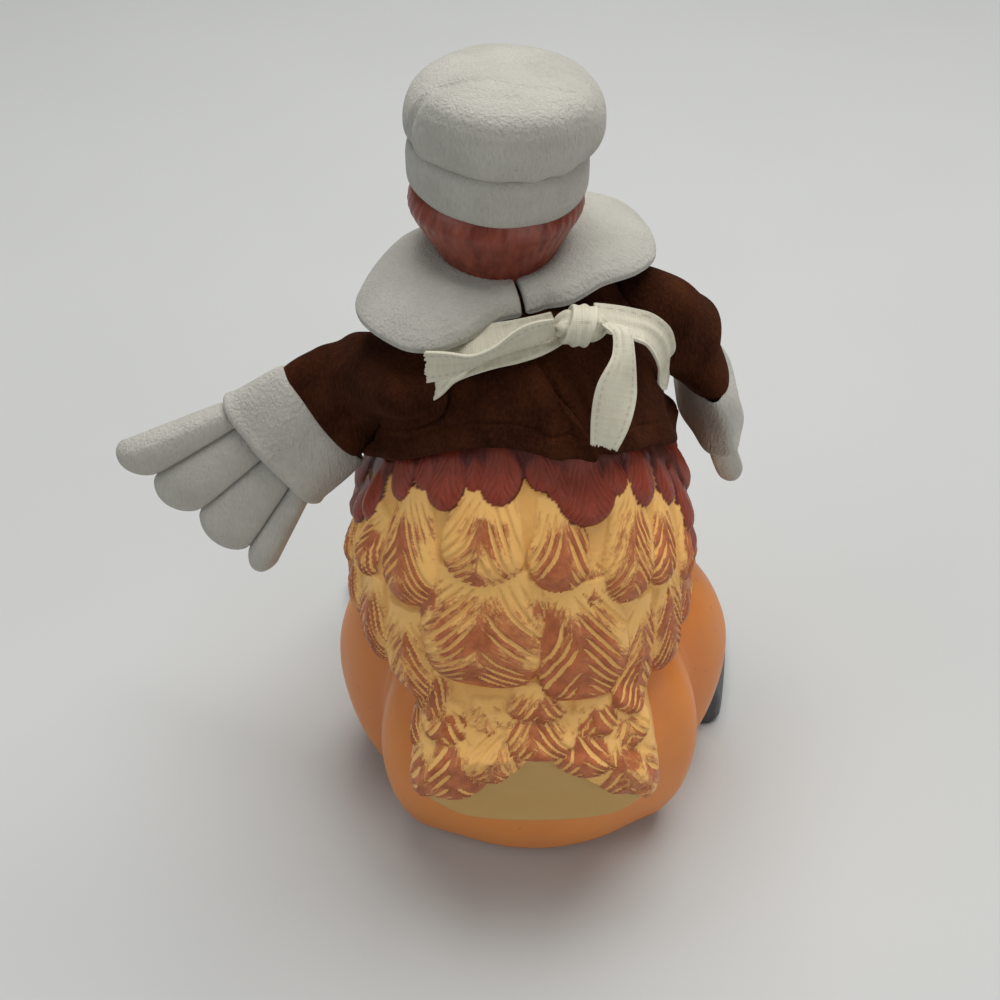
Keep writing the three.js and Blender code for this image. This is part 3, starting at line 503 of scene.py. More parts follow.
def inTail(x, y, z):
    run = y - tail["lean"] * (z - tail["leanAt"])
    first, last = tail["stations"][0][0], tail["stations"][-1][0]
    half, top, middle, bottom = alongRows(tail["stations"], run).T
    side = np.abs(x - tail["middle"]) / half
    lens = np.sqrt(np.clip(1 - side**2, 0, 1)) ** tail["bulge"]
    tall = np.where(z > middle, top - middle, middle - bottom) * lens
    return (run > first) & (run < last) & (side < 1) & (np.abs(z - middle) < tall)


def middleLine(z):  # the line inside the body that the turns go about, leaning to the neck at the top
    share = smoothStep(body["leanFrom"], body["leanTo"], z)
    (lowX, lowY), (neckX, neckY) = body["middle"], body["neck"]
    return lowX + (neckX - lowX) * share, lowY + (neckY - lowY) * share


def reachOf(inside, turn, z, far, near):  # distance from the body's middle line to a skin, from outside in
    middleX, middleY = middleLine(z)
    hit = np.full(len(turn), near, float)
    unmet = np.ones(len(turn), bool)
    step = 1.0
    for distance in np.arange(far, near, -step):
        at = np.nonzero(unmet)[0]
        x, y = middleX[at] + distance * np.cos(turn[at]), middleY[at] + distance * np.sin(turn[at])
        found = at[inside(x, y, z[at])]
        hit[found] = distance
        unmet[found] = False
    low, high = hit.copy(), hit + step
    for _ in range(9):
        half = (low + high) / 2
        good = inside(middleX + half * np.cos(turn), middleY + half * np.sin(turn), z)
        low, high = np.where(good, half, low), np.where(good, high, half)
    return np.where(unmet, near, low)


# Carved feathers: turn and height of base and tip, half width, lift, slant of the barbs, squareness
feathers = {
    "arc": 0.86,  # mm round the body for each degree
    "red": [
        [10, 124, 13, 112, 6.6, 2.0], [17, 134, 23, 119.5, 6.6, 2.2], [30, 147, 40, 134.5, 7.2, 2.2],
        [45, 152, 49, 141, 6.2, 1.6], [54, 153, 60, 139.2, 7.6, 2.4], [68, 155, 69, 145, 6, 1.5],
        [77, 156, 79.5, 143.2, 8, 2.4], [95, 156, 95, 146, 7, 1.7], [104, 153, 101, 143, 6.6, 1.9],
        [112, 152, 111, 137, 10.6, 2.6], [127, 151, 124, 141.5, 6.2, 1.6], [141, 150, 136, 134, 7.6, 2.3],
        [158, 142, 151, 127.5, 6, 2.1], [166, 130, 162, 111.5, 5.8, 2.3], [167, 116, 166, 100, 5, 2.2],
        [176, 118, 174, 105, 6.4, 2.0], [0, 118, 1, 106, 6.4, 2.0],
    ],
    "gold": [
        [12, 116, 15, 99, 6.8, 2.6, 1.9, 2], [30.5, 126, 29, 106.5, 6.8, 2.8, 2.2, 2],
        [45, 139, 53, 109.4, 10, 3.0, 2.0, 2], [73.5, 146, 75, 121.2, 12.4, 3.0, 1.7, 2.4],
        [100.5, 143, 99.3, 120.2, 9, 2.8, 2.4, 2.2], [110, 128, 109, 114, 5, 1.6, 2.0, 2],
        [130, 142, 120, 112.2, 9, 3.0, 2.2, 2.1], [147, 131, 134.5, 110.8, 6.2, 2.6, 2.0, 2],
        [159, 121, 153, 100, 6, 2.4, 2.0, 2], [172, 110, 169, 94, 6.4, 2.4, 2.0, 2],
        [20, 108, 24, 86, 6.8, 2.4, 2.0, 2], [35, 108, 38.6, 79, 7.4, 2.7, 2.1, 2],
        [51, 106, 55, 73.3, 7.6, 3.0, 2.0, 2], [75, 124, 77.5, 89.5, 16.2, 4.4, 1.15, 3.6],
        [106, 121, 106.5, 86, 13, 4.2, 1.9, 3.4], [125, 110, 120, 77.3, 7.6, 3.0, 1.9, 2],
        [141, 113, 138, 76.5, 7.8, 2.8, 2.2, 2], [153, 106, 152, 84, 6.6, 2.4, 2.1, 2],
        [4, 102, 7, 84, 7, 2.2, 2.0, 2], [165, 100, 165, 82, 6.6, 2.2, 2.0, 2],
        [63, 92, 62, 74, 5.4, 1.6, 1.8, 2], [63, 122, 63, 104, 6, 1.8, 1.9, 2],
        [91, 122, 91.5, 104, 5, 1.7, 1.9, 2], [55, 76, 57.5, 63, 4.4, 2.0, 1.6, 2],
        [66, 80, 68.5, 69.8, 6.8, 2.2, 1.6, 2.2], [79, 84, 80, 74.5, 5.4, 1.6, 1.5, 2],
        [92.2, 89, 92.6, 79.6, 7.8, 2.6, 1.6, 2.4], [107.8, 84, 107.7, 73.4, 5.8, 2.2, 1.5, 2],
        [118.5, 80, 117.3, 68.8, 5.8, 2.4, 1.6, 2],
    ],
    "fan": [
        [63, 68, 65, 48.6, 5.8, 2.2, 2.2, 2], [73, 75, 71, 48.4, 6.6, 3.4, 2.2, 2],
        [83, 80, 80.4, 57.5, 6.8, 3.4, 2.0, 2], [93, 84, 93.2, 69.6, 9.4, 3.6, 1.8, 2.4],
        [102, 80, 104.4, 60.6, 6.8, 3.4, 2.0, 2], [110.5, 75, 112.6, 51.5, 6.8, 3.4, 2.2, 2],
        [120, 69, 119.5, 47.5, 6, 2.2, 2.2, 2],
    ],
    "front": {"levels": [[126, 112, 0], [112, 95, 0.5], [97, 80, 0]], "count": 9, "half": 7.2, "lift": 2.2,
              "from": 186, "span": 168, "until": 356, "over": 4, "slant": 1.9, "square": 2},
    "pitch": 2.2, "redPitch": 1.7, "groove": 0.85, "cut": 0.27, "swell": 1.45,
}


def featherList():
    rows = [row + [2.0, 2, 1] for row in feathers["red"]]
    rows += [row + [0] for row in feathers["gold"]] + [row + [2] for row in feathers["fan"]]
    front = feathers["front"]
    for level, (top, tip, shift) in enumerate(front["levels"]):
        for k in range(front["count"]):
            turn = front["from"] + (k + shift) * front["span"] / (front["count"] - 1)
            if turn < front["until"]:
                kind = 1 if level == 0 else 0
                shape = [front["half"], front["lift"], front["slant"], front["square"], kind]
                rows.append([turn, top + front["over"], turn, tip] + shape)
    return rows


def scatter(number):  # a steady value from 0 to 1 for each whole number
    value = np.sin(number * 12.9898) * 43758.5453
    return value - np.floor(value)


def carve(turn, z):  # kind 0 is a gold feather, 1 a red one and 2 one of the tail fan
    degrees = np.degrees(turn)
    count = len(turn)
    lift, brown, red, cut, inside = (np.zeros(count) for _ in range(5))
    gap = np.ones(count)
    barb = np.zeros((count, 3))
    for index, (turn0, z0, turn1, z1, half, high, slant, square, kind) in enumerate(featherList()):
        along = np.array([(turn1 - turn0) * feathers["arc"], z1 - z0])
        length = np.hypot(*along)
        along = along / length
        offTurn = (degrees - turn0 + 540) % 360 - 180
        dx, dz = offTurn * feathers["arc"], z - z0
        near = np.nonzero((np.abs(dx) < length + half) & (np.abs(dz) < length + half))[0]
        dx, dz = dx[near], dz[near]
        run = dx * along[0] + dz * along[1]
        side = dx * along[1] - dz * along[0]
        freely = np.column_stack([side, run, np.full(len(side), 9.0 * index)])
        end = min(1.15 * half, 0.55 * length)
        wavy = 1 + 0.05 * softWaves(freely, 12, index, 4)
        grown = half * (0.8 + 0.2 * smoothStep(0, 0.5 * length, run)) * wavy
        past = np.clip((run - (length - end)) / end, 0, None)
        edge = ((np.abs(side) / grown) ** square + past**square) ** (1 / square)
        t = np.clip(run / length, 0, 1)
        dome = np.clip(1 - edge**2.8, 0, 1) ** 0.5
        bend = 0.3 * half * math.sin(2.7 * index) * (1 - t) ** 2 + 0.12 * half * math.sin(1.7 * index)
        offShaft = side - bend - 0.3 * np.sin(0.3 * run + index)
        warp = 0.9 * softWaves(freely, 15, 40 + index, 4) + 0.3 * softWaves(freely, 6, 90 + index, 4)
        lean = slant * (1.45 - 0.6 * t) * (1 + 0.14 * softWaves(freely, 22, 7 + index, 3))
        goldPitch = feathers["pitch"] * (1 + 0.18 * math.sin(5.1 * index))
        pitch = feathers["redPitch"] if kind == 1 else goldPitch
        barbs = (run - lean * np.abs(offShaft) + warp) / np.sqrt(1 + lean**2) / pitch + 40
        whole = np.floor(barbs)
        sided = 401 * (offShaft > 0) + 31 * index
        far = np.abs(offShaft) / half
        first = 0.18 * scatter(whole + 77 + sided)
        last = 0.6 + 0.5 * scatter(whole + 13 + sided)
        drawn = smoothStep(first - 0.05, first + 0.12, far) * smoothStep(last + 0.16, last - 0.16, far)
        drawn = drawn * (0.72 + 0.28 * scatter(whole + 5 + sided)) * (scatter(whole + 29 + sided) > 0.08)
        fade = smoothStep(0.0, 0.2, t) * smoothStep(1.0, 0.9, edge) * smoothStep(1.0, 0.9, t)
        drawn = drawn * fade
        groove = smoothStep(-0.08, 0.12, feathers["cut"] * drawn - np.abs(barbs - whole - 0.5))
        spine = bell(offShaft, 0.9) * smoothStep(0.95, 0.6, t) * (1 if index % 3 else 0.3)
        depth = feathers["groove"] * (0.16 if kind == 1 else 1.0)
        rise = high * feathers["swell"] * (0.34 + 0.66 * smoothStep(0, 0.8, t)) * dome
        height = rise + 0.3 * spine * fade - depth * groove
        height = np.where((edge < 1) & (run > -2), height, -1)
        wins = height > np.where(inside[near] > 0, lift[near], 0.05)
        at = near[wins]
        lift[at] = height[wins]
        tipped = smoothStep(0.55, 0.95, t) * smoothStep(0.1, 0.8, edge)
        middle = bell(far, 0.26 + 0.16 * math.sin(3.1 * index))
        dabs = softWaves(freely, 13, 60 + index, 5)
        pale = smoothStep(0.45, 0.95, far) * (1 - tipped)
        varied = 0.1 * math.sin(4.3 * index)
        shade = 0.54 + 0.02 * middle + 0.2 * tipped + 0.22 * dabs - 0.32 * pale + varied
        amount = shade * smoothStep(-0.02, 0.35, t)
        brown[at] = amount[wins]
        cut[at] = drawn[wins]
        gap[at] = smoothStep(0.8, 1.0, edge)[wins]
        red[at] = 1.0 if kind == 1 else 0.0
        barb[at] = np.column_stack([barbs, run, 17.0 * index + 5 * (offShaft > 0)])[wins]
        inside[at] = 1
    # How low each spot lies and how near a feather's edge, which sets the painted shade in the gaps
    low = np.where(inside > 0, 1 - smoothStep(0.2, 1.8, lift), 1.0)
    return lift, cut, brown, red, barb, np.maximum(low, 0.8 * gap)


def bodyRows(v):
    share = body["fineRows"] / body["rows"]
    fine = body["low"] + (body["fineBelow"] - body["low"]) * np.clip(v / share, 0, 1)
    return fine + (body["top"] - body["fineBelow"]) * np.clip((v - share) / (1 - share), 0, 1)


def bodyTurns(u):
    share = body["rear"] / body["columns"]
    rear = body["rearFrom"] + body["rearWide"] * np.clip(u / share, 0, 1)
    return np.radians(rear + (360 - body["rearWide"]) * np.clip((u - share) / (1 - share), 0, 1))


bodyShell, u, v = startGrid("bodyShell", body["columns"], body["rows"])
turn, z = bodyTurns(u), bodyRows(v)
lowest = body["stations"][0][0]
trunk = reachOf(inBody, turn, np.maximum(z, lowest + 0.2), far=80.0, near=6.0)
trunk = np.where(z > lowest, trunk, body["core"])
fan = reachOf(inTail, turn, z, far=82.0, near=tail["core"])
onFan = fan > tail["core"] + 0.5
onTrunk = trunk > body["core"] + 0.5
join = body["soft"] * np.exp(-np.abs(trunk - fan) / body["soft"]) * 0.5
bodyReach = np.maximum(trunk, fan) + join * onFan * onTrunk
lift, cut, brown, red, barb, low = carve(turn, z)
degrees = np.degrees(turn)
hemHeight = heightAt(edges["hem"], degrees)
under = smoothStep(hemHeight + 5, hemHeight - 1, z)
faceLine = heightAt(edges["face"], degrees)
behind = (degrees > tail["faceFrom"]) & (degrees < tail["faceTo"])
face = smoothStep(faceLine + 0.4, faceLine - 1.2, z) * behind
lift = np.where(face > 0.01, lift * (1 - face), lift) * under
grow = np.where(z < lowest + 1, onFan * 1.0, 1.0)
lip = 3.2 * face * smoothStep(52, 37, z) * smoothStep(62, 74, degrees) * smoothStep(124, 112, degrees)
bodyReach = bodyReach + lift * grow + lip - body["sunk"] * (1 - under)
middleX, middleY = middleLine(z)
bodyPoints = np.column_stack([middleX + bodyReach * np.cos(turn), middleY + bodyReach * np.sin(turn), z])
bodyPoints[atEnds(v), :2] = body["neck"]
bodyPoints[v < 1e-6, :2] = body["middle"]
place(bodyShell, bodyPoints)
red = np.maximum(red, smoothStep(0, 3, z - heightAt(edges["red"], degrees)))
keep(bodyShell, "brown", brown * (1 - face))
keep(bodyShell, "cut", cut * (1 - face))
keep(bodyShell, "red", red)
keep(bodyShell, "cream", face)
# Sets the painted shade between the feathers
keep(bodyShell, "low", low * (1 - face))
keep(bodyShell, "barb", barb)
closeUp(bodyShell)
finishPiece(bodyShell, featherPaint, "figure", "feather_paint", "body_shell")
print("body made:", len(bodyShell.data.polygons), "faces")


# Head, bill and eyes: stations are height, middle x and y, half width and half depth
head = {
    "stations": [[187.4, 11.4, -0.8, 14.2, 14.6], [190.8, 11.5, -1, 14.9, 15.3],
                 [195, 11.8, -1.8, 17.2, 18], [201, 12, -3, 20.9, 21.9], [206, 12, -3.8, 23.4, 24.2],
                 [209.4, 12, -4.3, 22.6, 23.6], [213, 11.5, -4.5, 20, 21], [219, 11.5, -4.5, 19.5, 20.5],
                 [228, 11.5, -4.5, 16, 17], [235, 11.5, -4.5, 7, 8], [235.6, 11.5, -4.5, 0.01, 0.01]],
    "yaw": 16.5, "billAt": 201, "billLong": 26, "billHalf": 9.5, "eyeAt": 204.5, "eyeRound": 4.2,
    "eyeSpread": 42, "eyeSunk": 1.6, "upperTall": 6, "lowerFrom": -4.3, "lowerTo": -0.3, "lowerShort": 3,
    "bill": [[-0.3, 0.8, 1], [-0.27, 0.8, 1], [0, 0.86, 1], [0.35, 0.92, 0.85], [0.65, 1.06, 0.66],
             [0.86, 1.04, 0.5], [0.96, 0.8, 0.38], [1, 0.35, 0.2], [1.01, 0.01, 0.01]],
}
yaw = math.radians(head["yaw"])
faceAlong = np.array([math.sin(yaw), -math.cos(yaw), 0])
faceAcross = np.array([math.cos(yaw), math.sin(yaw), 0])


def headPoint(u, v):
    low, top = head["stations"][0][0], head["stations"][-1][0]
    z = low + (top - low) * v
    x, y, half, depth = alongRows(head["stations"], z).T
    turn = 2 * np.pi * u
    groove = 0.16 * np.sin(46 * turn + 2 * np.sin(0.35 * z)) * smoothStep(212, 204, z)
    closed = np.where(atEnds(v), 0, 1)
    cheek = 1.2 * bell(z - 203, 5) * np.clip(-np.cos(turn - yaw - math.pi / 2), 0, 1) ** 2
    x = x + closed * (half + groove + cheek) * np.cos(turn)
    y = y + closed * (depth + groove + cheek) * np.sin(turn)
    return np.column_stack([x, y, z])


headShell = skin("headShell", 200, 70, headPoint)
finishPiece(headShell, headPaint, "figure", "head_paint", "head_shell")

headAt = alongRows(head["stations"], np.array([float(head["billAt"])]))[0]


def billSkin(name, low, high, long, lipUp):
    first, last = head["bill"][0][0], head["bill"][-1][0]

    def pointAt(u, v):
        run = first + (last - first) * v
        wide, tall = alongRows(head["bill"], run).T
        wide = np.where(v < 1e-6, 0, wide)
        turn = 2 * np.pi * u
        up = signedPower(np.sin(turn), 0.8) * (high - low) / 2 * tall
        side = np.cos(turn) * head["billHalf"] * wide
        ahead = faceAlong * (headAt[3] + run * long)[:, None]
        middle = np.array([headAt[0], headAt[1], (low + high) / 2]) + ahead
        curl = lipUp * smoothStep(0.3, 1, run) * (0.6 + 0.4 * np.abs(np.cos(turn)))
        return middle + faceAcross * side[:, None] + np.column_stack([0 * u, 0 * u, up + curl])

    return skin(name, 48, 40, pointAt)


billAt = head["billAt"]
upperBill = billSkin("upperBill", billAt, billAt + head["upperTall"], head["billLong"], 0.6)
finishPiece(upperBill, billPaint, "figure", "bill_paint", "upper_bill")
lowerLong = head["billLong"] - head["lowerShort"]
lowerBill = billSkin("lowerBill", billAt + head["lowerFrom"], billAt + head["lowerTo"], lowerLong, 0.2)
finishPiece(lowerBill, billPaint, "figure", "bill_paint", "lower_bill")


def eyeSkin(name, side, node):
    x, y, half, depth = alongRows(head["stations"], np.array([float(head["eyeAt"])]))[0]
    turn = yaw + side * math.radians(head["eyeSpread"])
    half, depth = half - head["eyeSunk"], depth - head["eyeSunk"]
    middle = np.array([x + half * math.sin(turn), y - depth * math.cos(turn), head["eyeAt"]])

    def pointAt(u, v):
        rise, ring = math.pi * (v - 0.5), 2 * np.pi * u
        ball = np.column_stack([np.cos(rise) * np.cos(ring), np.cos(rise) * np.sin(ring), np.sin(rise)])
        ball[atEnds(v), :2] = 0
        return middle + head["eyeRound"] * ball

    finishPiece(skin(name, 32, 18, pointAt), eyeGloss, "figure", "eye_gloss", node)


eyeSkin("eyeLeft", 1, "eye_left")
eyeSkin("eyeRight", -1, "eye_right")
print("head made")

# Cap: a turned-up band and a soft crown
cap = {
    "bandAt": (11.5, -4.5), "bandHalf": (19.75, 20.75), "bandLow": 209.6, "bandTop": 222.4,
    "crown": [[217, 11.3, -4.6, 20.6, 21.2], [220.6, 11, -4.7, 22, 22.4], [223.5, 10.5, -4.9, 24.6, 24.8],
              [226.5, 10, -5.1, 25.9, 26], [230, 9.7, -5.2, 25.9, 26], [234.2, 9.2, -5.3, 24.6, 24.8],
              [237.6, 8.8, -5.4, 21.6, 21.8], [240, 8.4, -5.4, 17, 17], [241.6, 8.2, -5.4, 10, 10],
              [242, 8, -5.4, 0.01, 0.01]],
    "creaseLine": 5.5, "tilt": 0.05,
    "upright": [[226, 0], [231, 0.4], [235, 1.6], [238, 3.4], [240, 4.6], [241.4, 4.2], [242, 0]],
}


def bandPoint(u, v):  # a closed ring whose section is a soft rolled strip
    turn, ring = 2 * np.pi * u, 2 * np.pi * v
    tall = (cap["bandTop"] - cap["bandLow"]) / 2
    out = 2.2 + 1.9 * np.cos(ring)
    rise = tall * signedPower(np.sin(ring), 0.55)
    z = (cap["bandTop"] + cap["bandLow"]) / 2 + rise
    lump = 0.25 * np.sin(5 * turn + 1) + 0.18 * np.sin(9 * turn)
    ribs = 0.06 * np.sin(150 * turn)
    out = out + (lump * 0.6 + ribs) * (np.cos(ring) > -0.2)
    dip = 0.5 * np.sin(2 * turn + 0.6) + cap["tilt"] * cap["bandHalf"][0] * np.cos(turn)
    x = cap["bandAt"][0] + (cap["bandHalf"][0] + out) * np.cos(turn)
    y = cap["bandAt"][1] + (cap["bandHalf"][1] + out) * np.sin(turn)
    return np.column_stack([x, y, z + dip])


capBand = skin("capBand", 320, 36, bandPoint)
finishPiece(capBand, whiteVelour, "cap", "white_velour", "cap_band")


def crownPoint(u, v):
    level, x, y, half, depth = np.transpose(cap["crown"])
    half, z, _, x, y, depth = alongLine(np.column_stack([half, level, 0 * level, x, y, depth]), v).T
    turn = 2 * np.pi * u
    closed = np.where(atEnds(v), 0, 1)
    rear = alongRows(cap["upright"], z)[:, 0] * smoothStep(0.05, 0.7, np.sin(turn))
    half, depth = half + rear, depth + rear
    high = smoothStep(224, 231, z)
    pucker = 0.35 * np.sin(11 * turn + 2 * np.sin(3 * turn)) * smoothStep(228, 222, z)
    side = 0.9 * bell(np.degrees(turn) - 24 - 0.6 * (z - 230), 3.5) * smoothStep(220, 225, z)
    x = x + closed * (half + pucker - side) * np.cos(turn)
    y = y + closed * (depth + pucker - side) * np.sin(turn)
    points = np.column_stack([x, y, z])
    wander = cap["creaseLine"] + 0.9 * np.sin(0.3 * x) - 0.12 * (x - 8)
    spread = smoothStep(24, 12, np.abs(x - 7))
    crease = bell(y - wander, 0.9) * spread * high
    puff = bell(y - wander - 3, 2.5) * spread * high
    dent = np.exp(-(((x - 24) / 4) ** 2 + ((y - 5) / 3) ** 2)) * high
    points[:, 2] += 0.35 * puff - 0.75 * crease - 1.0 * dent
    points[:, 2] += 0.5 * softWaves(points, 26, 11) * high
    points[:, 2] += cap["tilt"] * (x - cap["bandAt"][0])
    return points


capCrown = skin("capCrown", 200, 90, crownPoint)
finishPiece(capCrown, whiteVelour, "cap", "white_velour", "cap_crown")
print("cap made")


# Jacket panels over the body, from the hem up to the collar
jacket = {
    "hem": [[-70, 108], [-20, 122], [15, 135], [43, 155], [70, 178]],
    "drop": 4, "rise": 2, "lift": 5, "top": 188.6, "outset": 1.6, "thick": 2.2, "stitchAt": 4.8,
    "folds": 9, "foldDeep": 2, "foldTop": 172, "foldLow": 128,
    "backFolds": [[97, 3, 2.8, 2.2], [105, 7, 2.6, 2.8], [113.5, 9, 2.4, 2.2], [124, 10, 3.6, 1.6],
                  [84, -2, 5, 1.2]],
    "pieces": ["jacketBackLeft", "jacketBackRight", "jacketFront"],
}


def hemAt(turn):  # height of the hem at each turn, by settling on the skin
    z = np.full(len(turn), 140.0)
    for _ in range(30):
        spot = bodyPoint(turn, z, jacket["outset"])
        lifted = jacket["lift"] * bell(spot[:, 0] - 14, 15) * smoothStep(22, 38, spot[:, 1])
        leaning = spot[:, 0] * math.tan(math.radians(jacket["drop"]))
        level = heightAt(jacket["hem"], spot[:, 1]) - leaning + jacket["rise"]
        z = 0.5 * z + 0.5 * (level + lifted)
    return z


def jacketPoint(turn, t, extra):
    low = hemAt(turn)
    z = low + (jacket["top"] - low) * t
    near = np.clip((jacket["foldTop"] - z) / (jacket["foldTop"] - jacket["foldLow"]), 0, 1)
    fold = jacket["foldDeep"] * near * (0.5 + 0.5 * np.cos(jacket["folds"] * turn))
    above = z - low
    flare = 1.6 * smoothStep(9, 0, above)
    roll = 0.7 * bell(above - 1, 1.4)
    stitch = -0.7 * bell(above - jacket["stitchAt"], 0.7)
    shoulder = 1.6 * smoothStep(166, 181, z)
    outset = jacket["outset"] + fold + flare + roll + stitch + shoulder + extra
    bumps = 0.4 * softWaves(bodyPoint(turn, z, outset), 24, 5)
    return bodyPoint(turn, z, outset + bumps)


def panel(name, start, finish, columns, rows, extraAt, node):
    def pointAt(u, v):
        edge = finish(v) if callable(finish) else finish
        turn = np.radians(start + (edge - start) * u)
        return jacketPoint(turn, v, extraAt(turn, v))

    piece = cloth(name, columns, rows, pointAt, jacket["thick"])
    finishPiece(piece, brownVelour, "figure", "brown_velour", node)


def backFolds(turn, t):  # soft folds that hang from under the knot
    degrees = np.degrees(turn)
    waves = 0
    for at, lean, wide, high in jacket["backFolds"]:
        waves = waves + high * bell(degrees - at - lean * (1 - t), wide)
    return waves * smoothStep(0.8, 0.35, t) * smoothStep(-0.05, 0.12, t) + 0.5 * smoothStep(0.5, 0.1, t)


def lapOver(turn, t):
    return 2.2 * smoothStep(1.45, 1.75, turn) * smoothStep(0.95, 0.5, t) + backFolds(turn, t)


def closingEdge(v):  # turn of the left panel's edge, which leans to the left towards the collar
    return 113 - 14 * smoothStep(0.0, 0.8, v)


def fainterFolds(turn, t):
    return 0.7 * backFolds(turn, t)


def noFolds(turn, t):
    return 0 * t


panel("jacketBackLeft", 6, closingEdge, 100, 60, lapOver, "jacket_back_left")
panel("jacketBackRight", 96.5, 193.5, 90, 60, fainterFolds, "jacket_back_right")
panel("jacketFront", 193, 366.5, 110, 50, noFolds, "jacket_front")
print("jacket made")

# Collar halves: turn from the split at the back, inner reach and height, outer reach and height
collar = {
    "neck": (11.5, -1), "hug": 0.5, "rise": 1.7, "thick": 3.8, "seam": 0.3,
    "left": [[0.6, 14.8, 188.8, 23.4, 185.6], [15, 14.8, 188.8, 24.6, 185.2], [30, 15, 189.2, 31, 184],
             [43, 15.2, 189.6, 38, 183], [55, 15.4, 190, 40.8, 182.2], [75, 15.6, 190.2, 41.3, 181.6],
             [88, 15.6, 190.4, 40.3, 182], [103, 15.6, 190.6, 36.8, 183], [128, 15.6, 190.6, 32, 184.4],
             [150, 15.6, 190.4, 30, 185], [178, 15.4, 190, 27, 185.6]],
    "right": [[1.4, 14.8, 188.8, 23.6, 186], [15, 14.9, 189, 23.4, 187], [24, 15, 189.4, 25.6, 187.8],
              [49, 15.8, 190.6, 29.7, 187.8], [69, 16.8, 191.4, 38.4, 187.2],
              [84, 17.6, 191.8, 44.4, 186.8], [100, 17.8, 191.8, 47.2, 186.8],
              [116, 17.4, 191.6, 48.4, 187.2], [128, 17, 191.2, 46, 187.8], [150, 16, 190.6, 39, 187],
              [178, 15.4, 190, 30, 185.8]],
}


def collarHalf(name, rows, side, node, seed):
    table = np.asarray(rows, float)

    def pointAt(u, v):  # v runs over the top layer, round the seamed edge and back below
        turn = table[0, 0] + (table[-1, 0] - table[0, 0]) * u
        innerReach, innerAt, outerReach, outerAt = alongRows(table, turn).T
        angle = math.pi / 2 + yaw - side * np.radians(turn)
        ring = 2 * np.pi * v
        t = 0.5 - 0.5 * signedPower(np.cos(ring), 0.62)
        edge = np.sin(ring)
        ends = np.sqrt(np.clip(1 - np.clip(1 - np.minimum(u, 1 - u) / 0.03, 0, 1) ** 2, 0, 1))
        half = collar["thick"] / 2 * signedPower(edge, 0.6) * ends
        pinch = collar["seam"] * bell(half, 0.35) * smoothStep(0.5, 0.9, t)
        radius = innerReach + (outerReach - innerReach) * t - pinch - collar["hug"] * (1 - t) ** 2
        z = innerAt + (outerAt - innerAt) * t + collar["rise"] * np.sin(np.pi * t) + 1.3 * (1 - t) ** 3
        wave = 0.7 * np.sin(6 * np.radians(turn) + seed) * t**2 - 0.7 * smoothStep(0.85, 1, t)
        topStitch = -0.25 * bell((1 - t) * (outerReach - innerReach) - 3.2, 0.8) * (half > 0)
        x = collar["neck"][0] + radius * np.cos(angle)
        y = collar["neck"][1] + radius * np.sin(angle)
        return np.column_stack([x, y, z + wave + half + topStitch])

    piece = skin(name, 110, 64, pointAt)
    finishPiece(piece, whiteVelour, "figure", "white_velour", node)


collarHalf("collarLeft", collar["left"], 1, "collar_left", 0.4)
collarHalf("collarRight", collar["right"], -1, "collar_right", 2.2)
print("collar made")


# Arms: shoulder pivot, direction and flat side, sleeve stations are distance, half width, half thickness
arms = {
    "left": {
        "pivot": [41, 4.3, 158], "along": [0.8, 0.108, -0.59], "flat": [0, 0.97, 0.24],
        "rear": 15, "cuffPush": 0, "root": [-9, 19, 6], "bow": 0, "handThick": 5.4,
        "fingers": [[[5.5, -15.5], [36, -21.5], 4.5, 6.4], [[3, -6], [32, -5.8], 6.5, 7.6],
                    [[3, 6.3], [30, 12], 6.3, 9], [[5.5, 15.5], [26.5, 25.5], 4.3, 4.6]],
    },
    "right": {
        "pivot": [-37.5, -13, 161], "along": [-0.344, -0.264, -0.9], "flat": [0.913, 0.125, -0.386],
        "rear": 0, "cuffPush": 7, "root": [10, 4, 6], "bow": -5, "handThick": 4.3,
        "fingers": [[[5.5, -13], [26, -28], 4.5, 5.4], [[3, -6], [30, -17.5], 6, 6.8],
                    [[3, 4], [30, -4], 6.5, 7], [[5.5, 11], [23, 8], 4.5, 4.8]],
    },
    "sleeve": [[-14, 0.01, 0.01], [-13, 4.6, 4.6], [-9, 9.6, 10], [-3, 12.6, 13], [3, 13.8, 12.8],
               [9, 14.9, 11.2], [16, 16, 9.4], [22, 16.8, 8.2], [25.6, 16.9, 7.2], [28, 15.6, 5.6],
               [37, 15, 5]],
    "cuffFrom": 25.6, "cuffTo": 46.5, "cuffHalf": 16.3, "cuffDeep": 4.4, "cuffThick": 2.6, "cuffFlare": 2.0,
    "wrist": 44, "wristBack": -7.0, "wristHalf": 11.5, "palm": 0.3, "tipRound": 6.2, "clear": 4.6,
    "sewnTo": -3.0, "freeFrom": 16.0, "cuffHolds": 40.0, "palmFrom": 52.0,
}


def armSpot(side):
    placed = arms[side]
    forward = unit(placed["along"])
    normal = np.array(placed["flat"], float)
    normal = unit(normal - forward * (normal @ forward))
    across = np.cross(normal, forward)

    def spot(s, w, n):
        bow = np.column_stack([placed["bow"] * bell(s - 24, 18), 0 * s, 0 * s])
        outward = np.array(placed["pivot"], float) + forward * s[:, None]
        return outward + across * w[:, None] + normal * n[:, None] + bow

    return spot


def bendAcross(piece, spot, before, after):  # bakes the piece's placement into its mesh; the two spots along the arm are worked out but nothing is bent
    start, end = spot(np.array([before, after]), np.zeros(2), np.zeros(2)) * mm
    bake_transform(piece)


def offJacket(points):  # eases the sleeve root out of the jacket, so that it lies against it
    x, y, z = points.T
    middle, half, back, front = alongRows(body["stations"], z).T
    centre = (back + front) / 2
    across = (x - middle) / (half + arms["clear"])
    depth = (y - centre) / ((back - front) / 2 + arms["clear"])
    share = (np.abs(across) ** body["square"] + np.abs(depth) ** body["square"]) ** (1 / body["square"])
    grow = np.where((share < 1) & (share > 0.5), 1 / np.maximum(share, 0.5), 1)
    return np.column_stack([middle + (x - middle) * grow, centre + (y - centre) * grow, z])


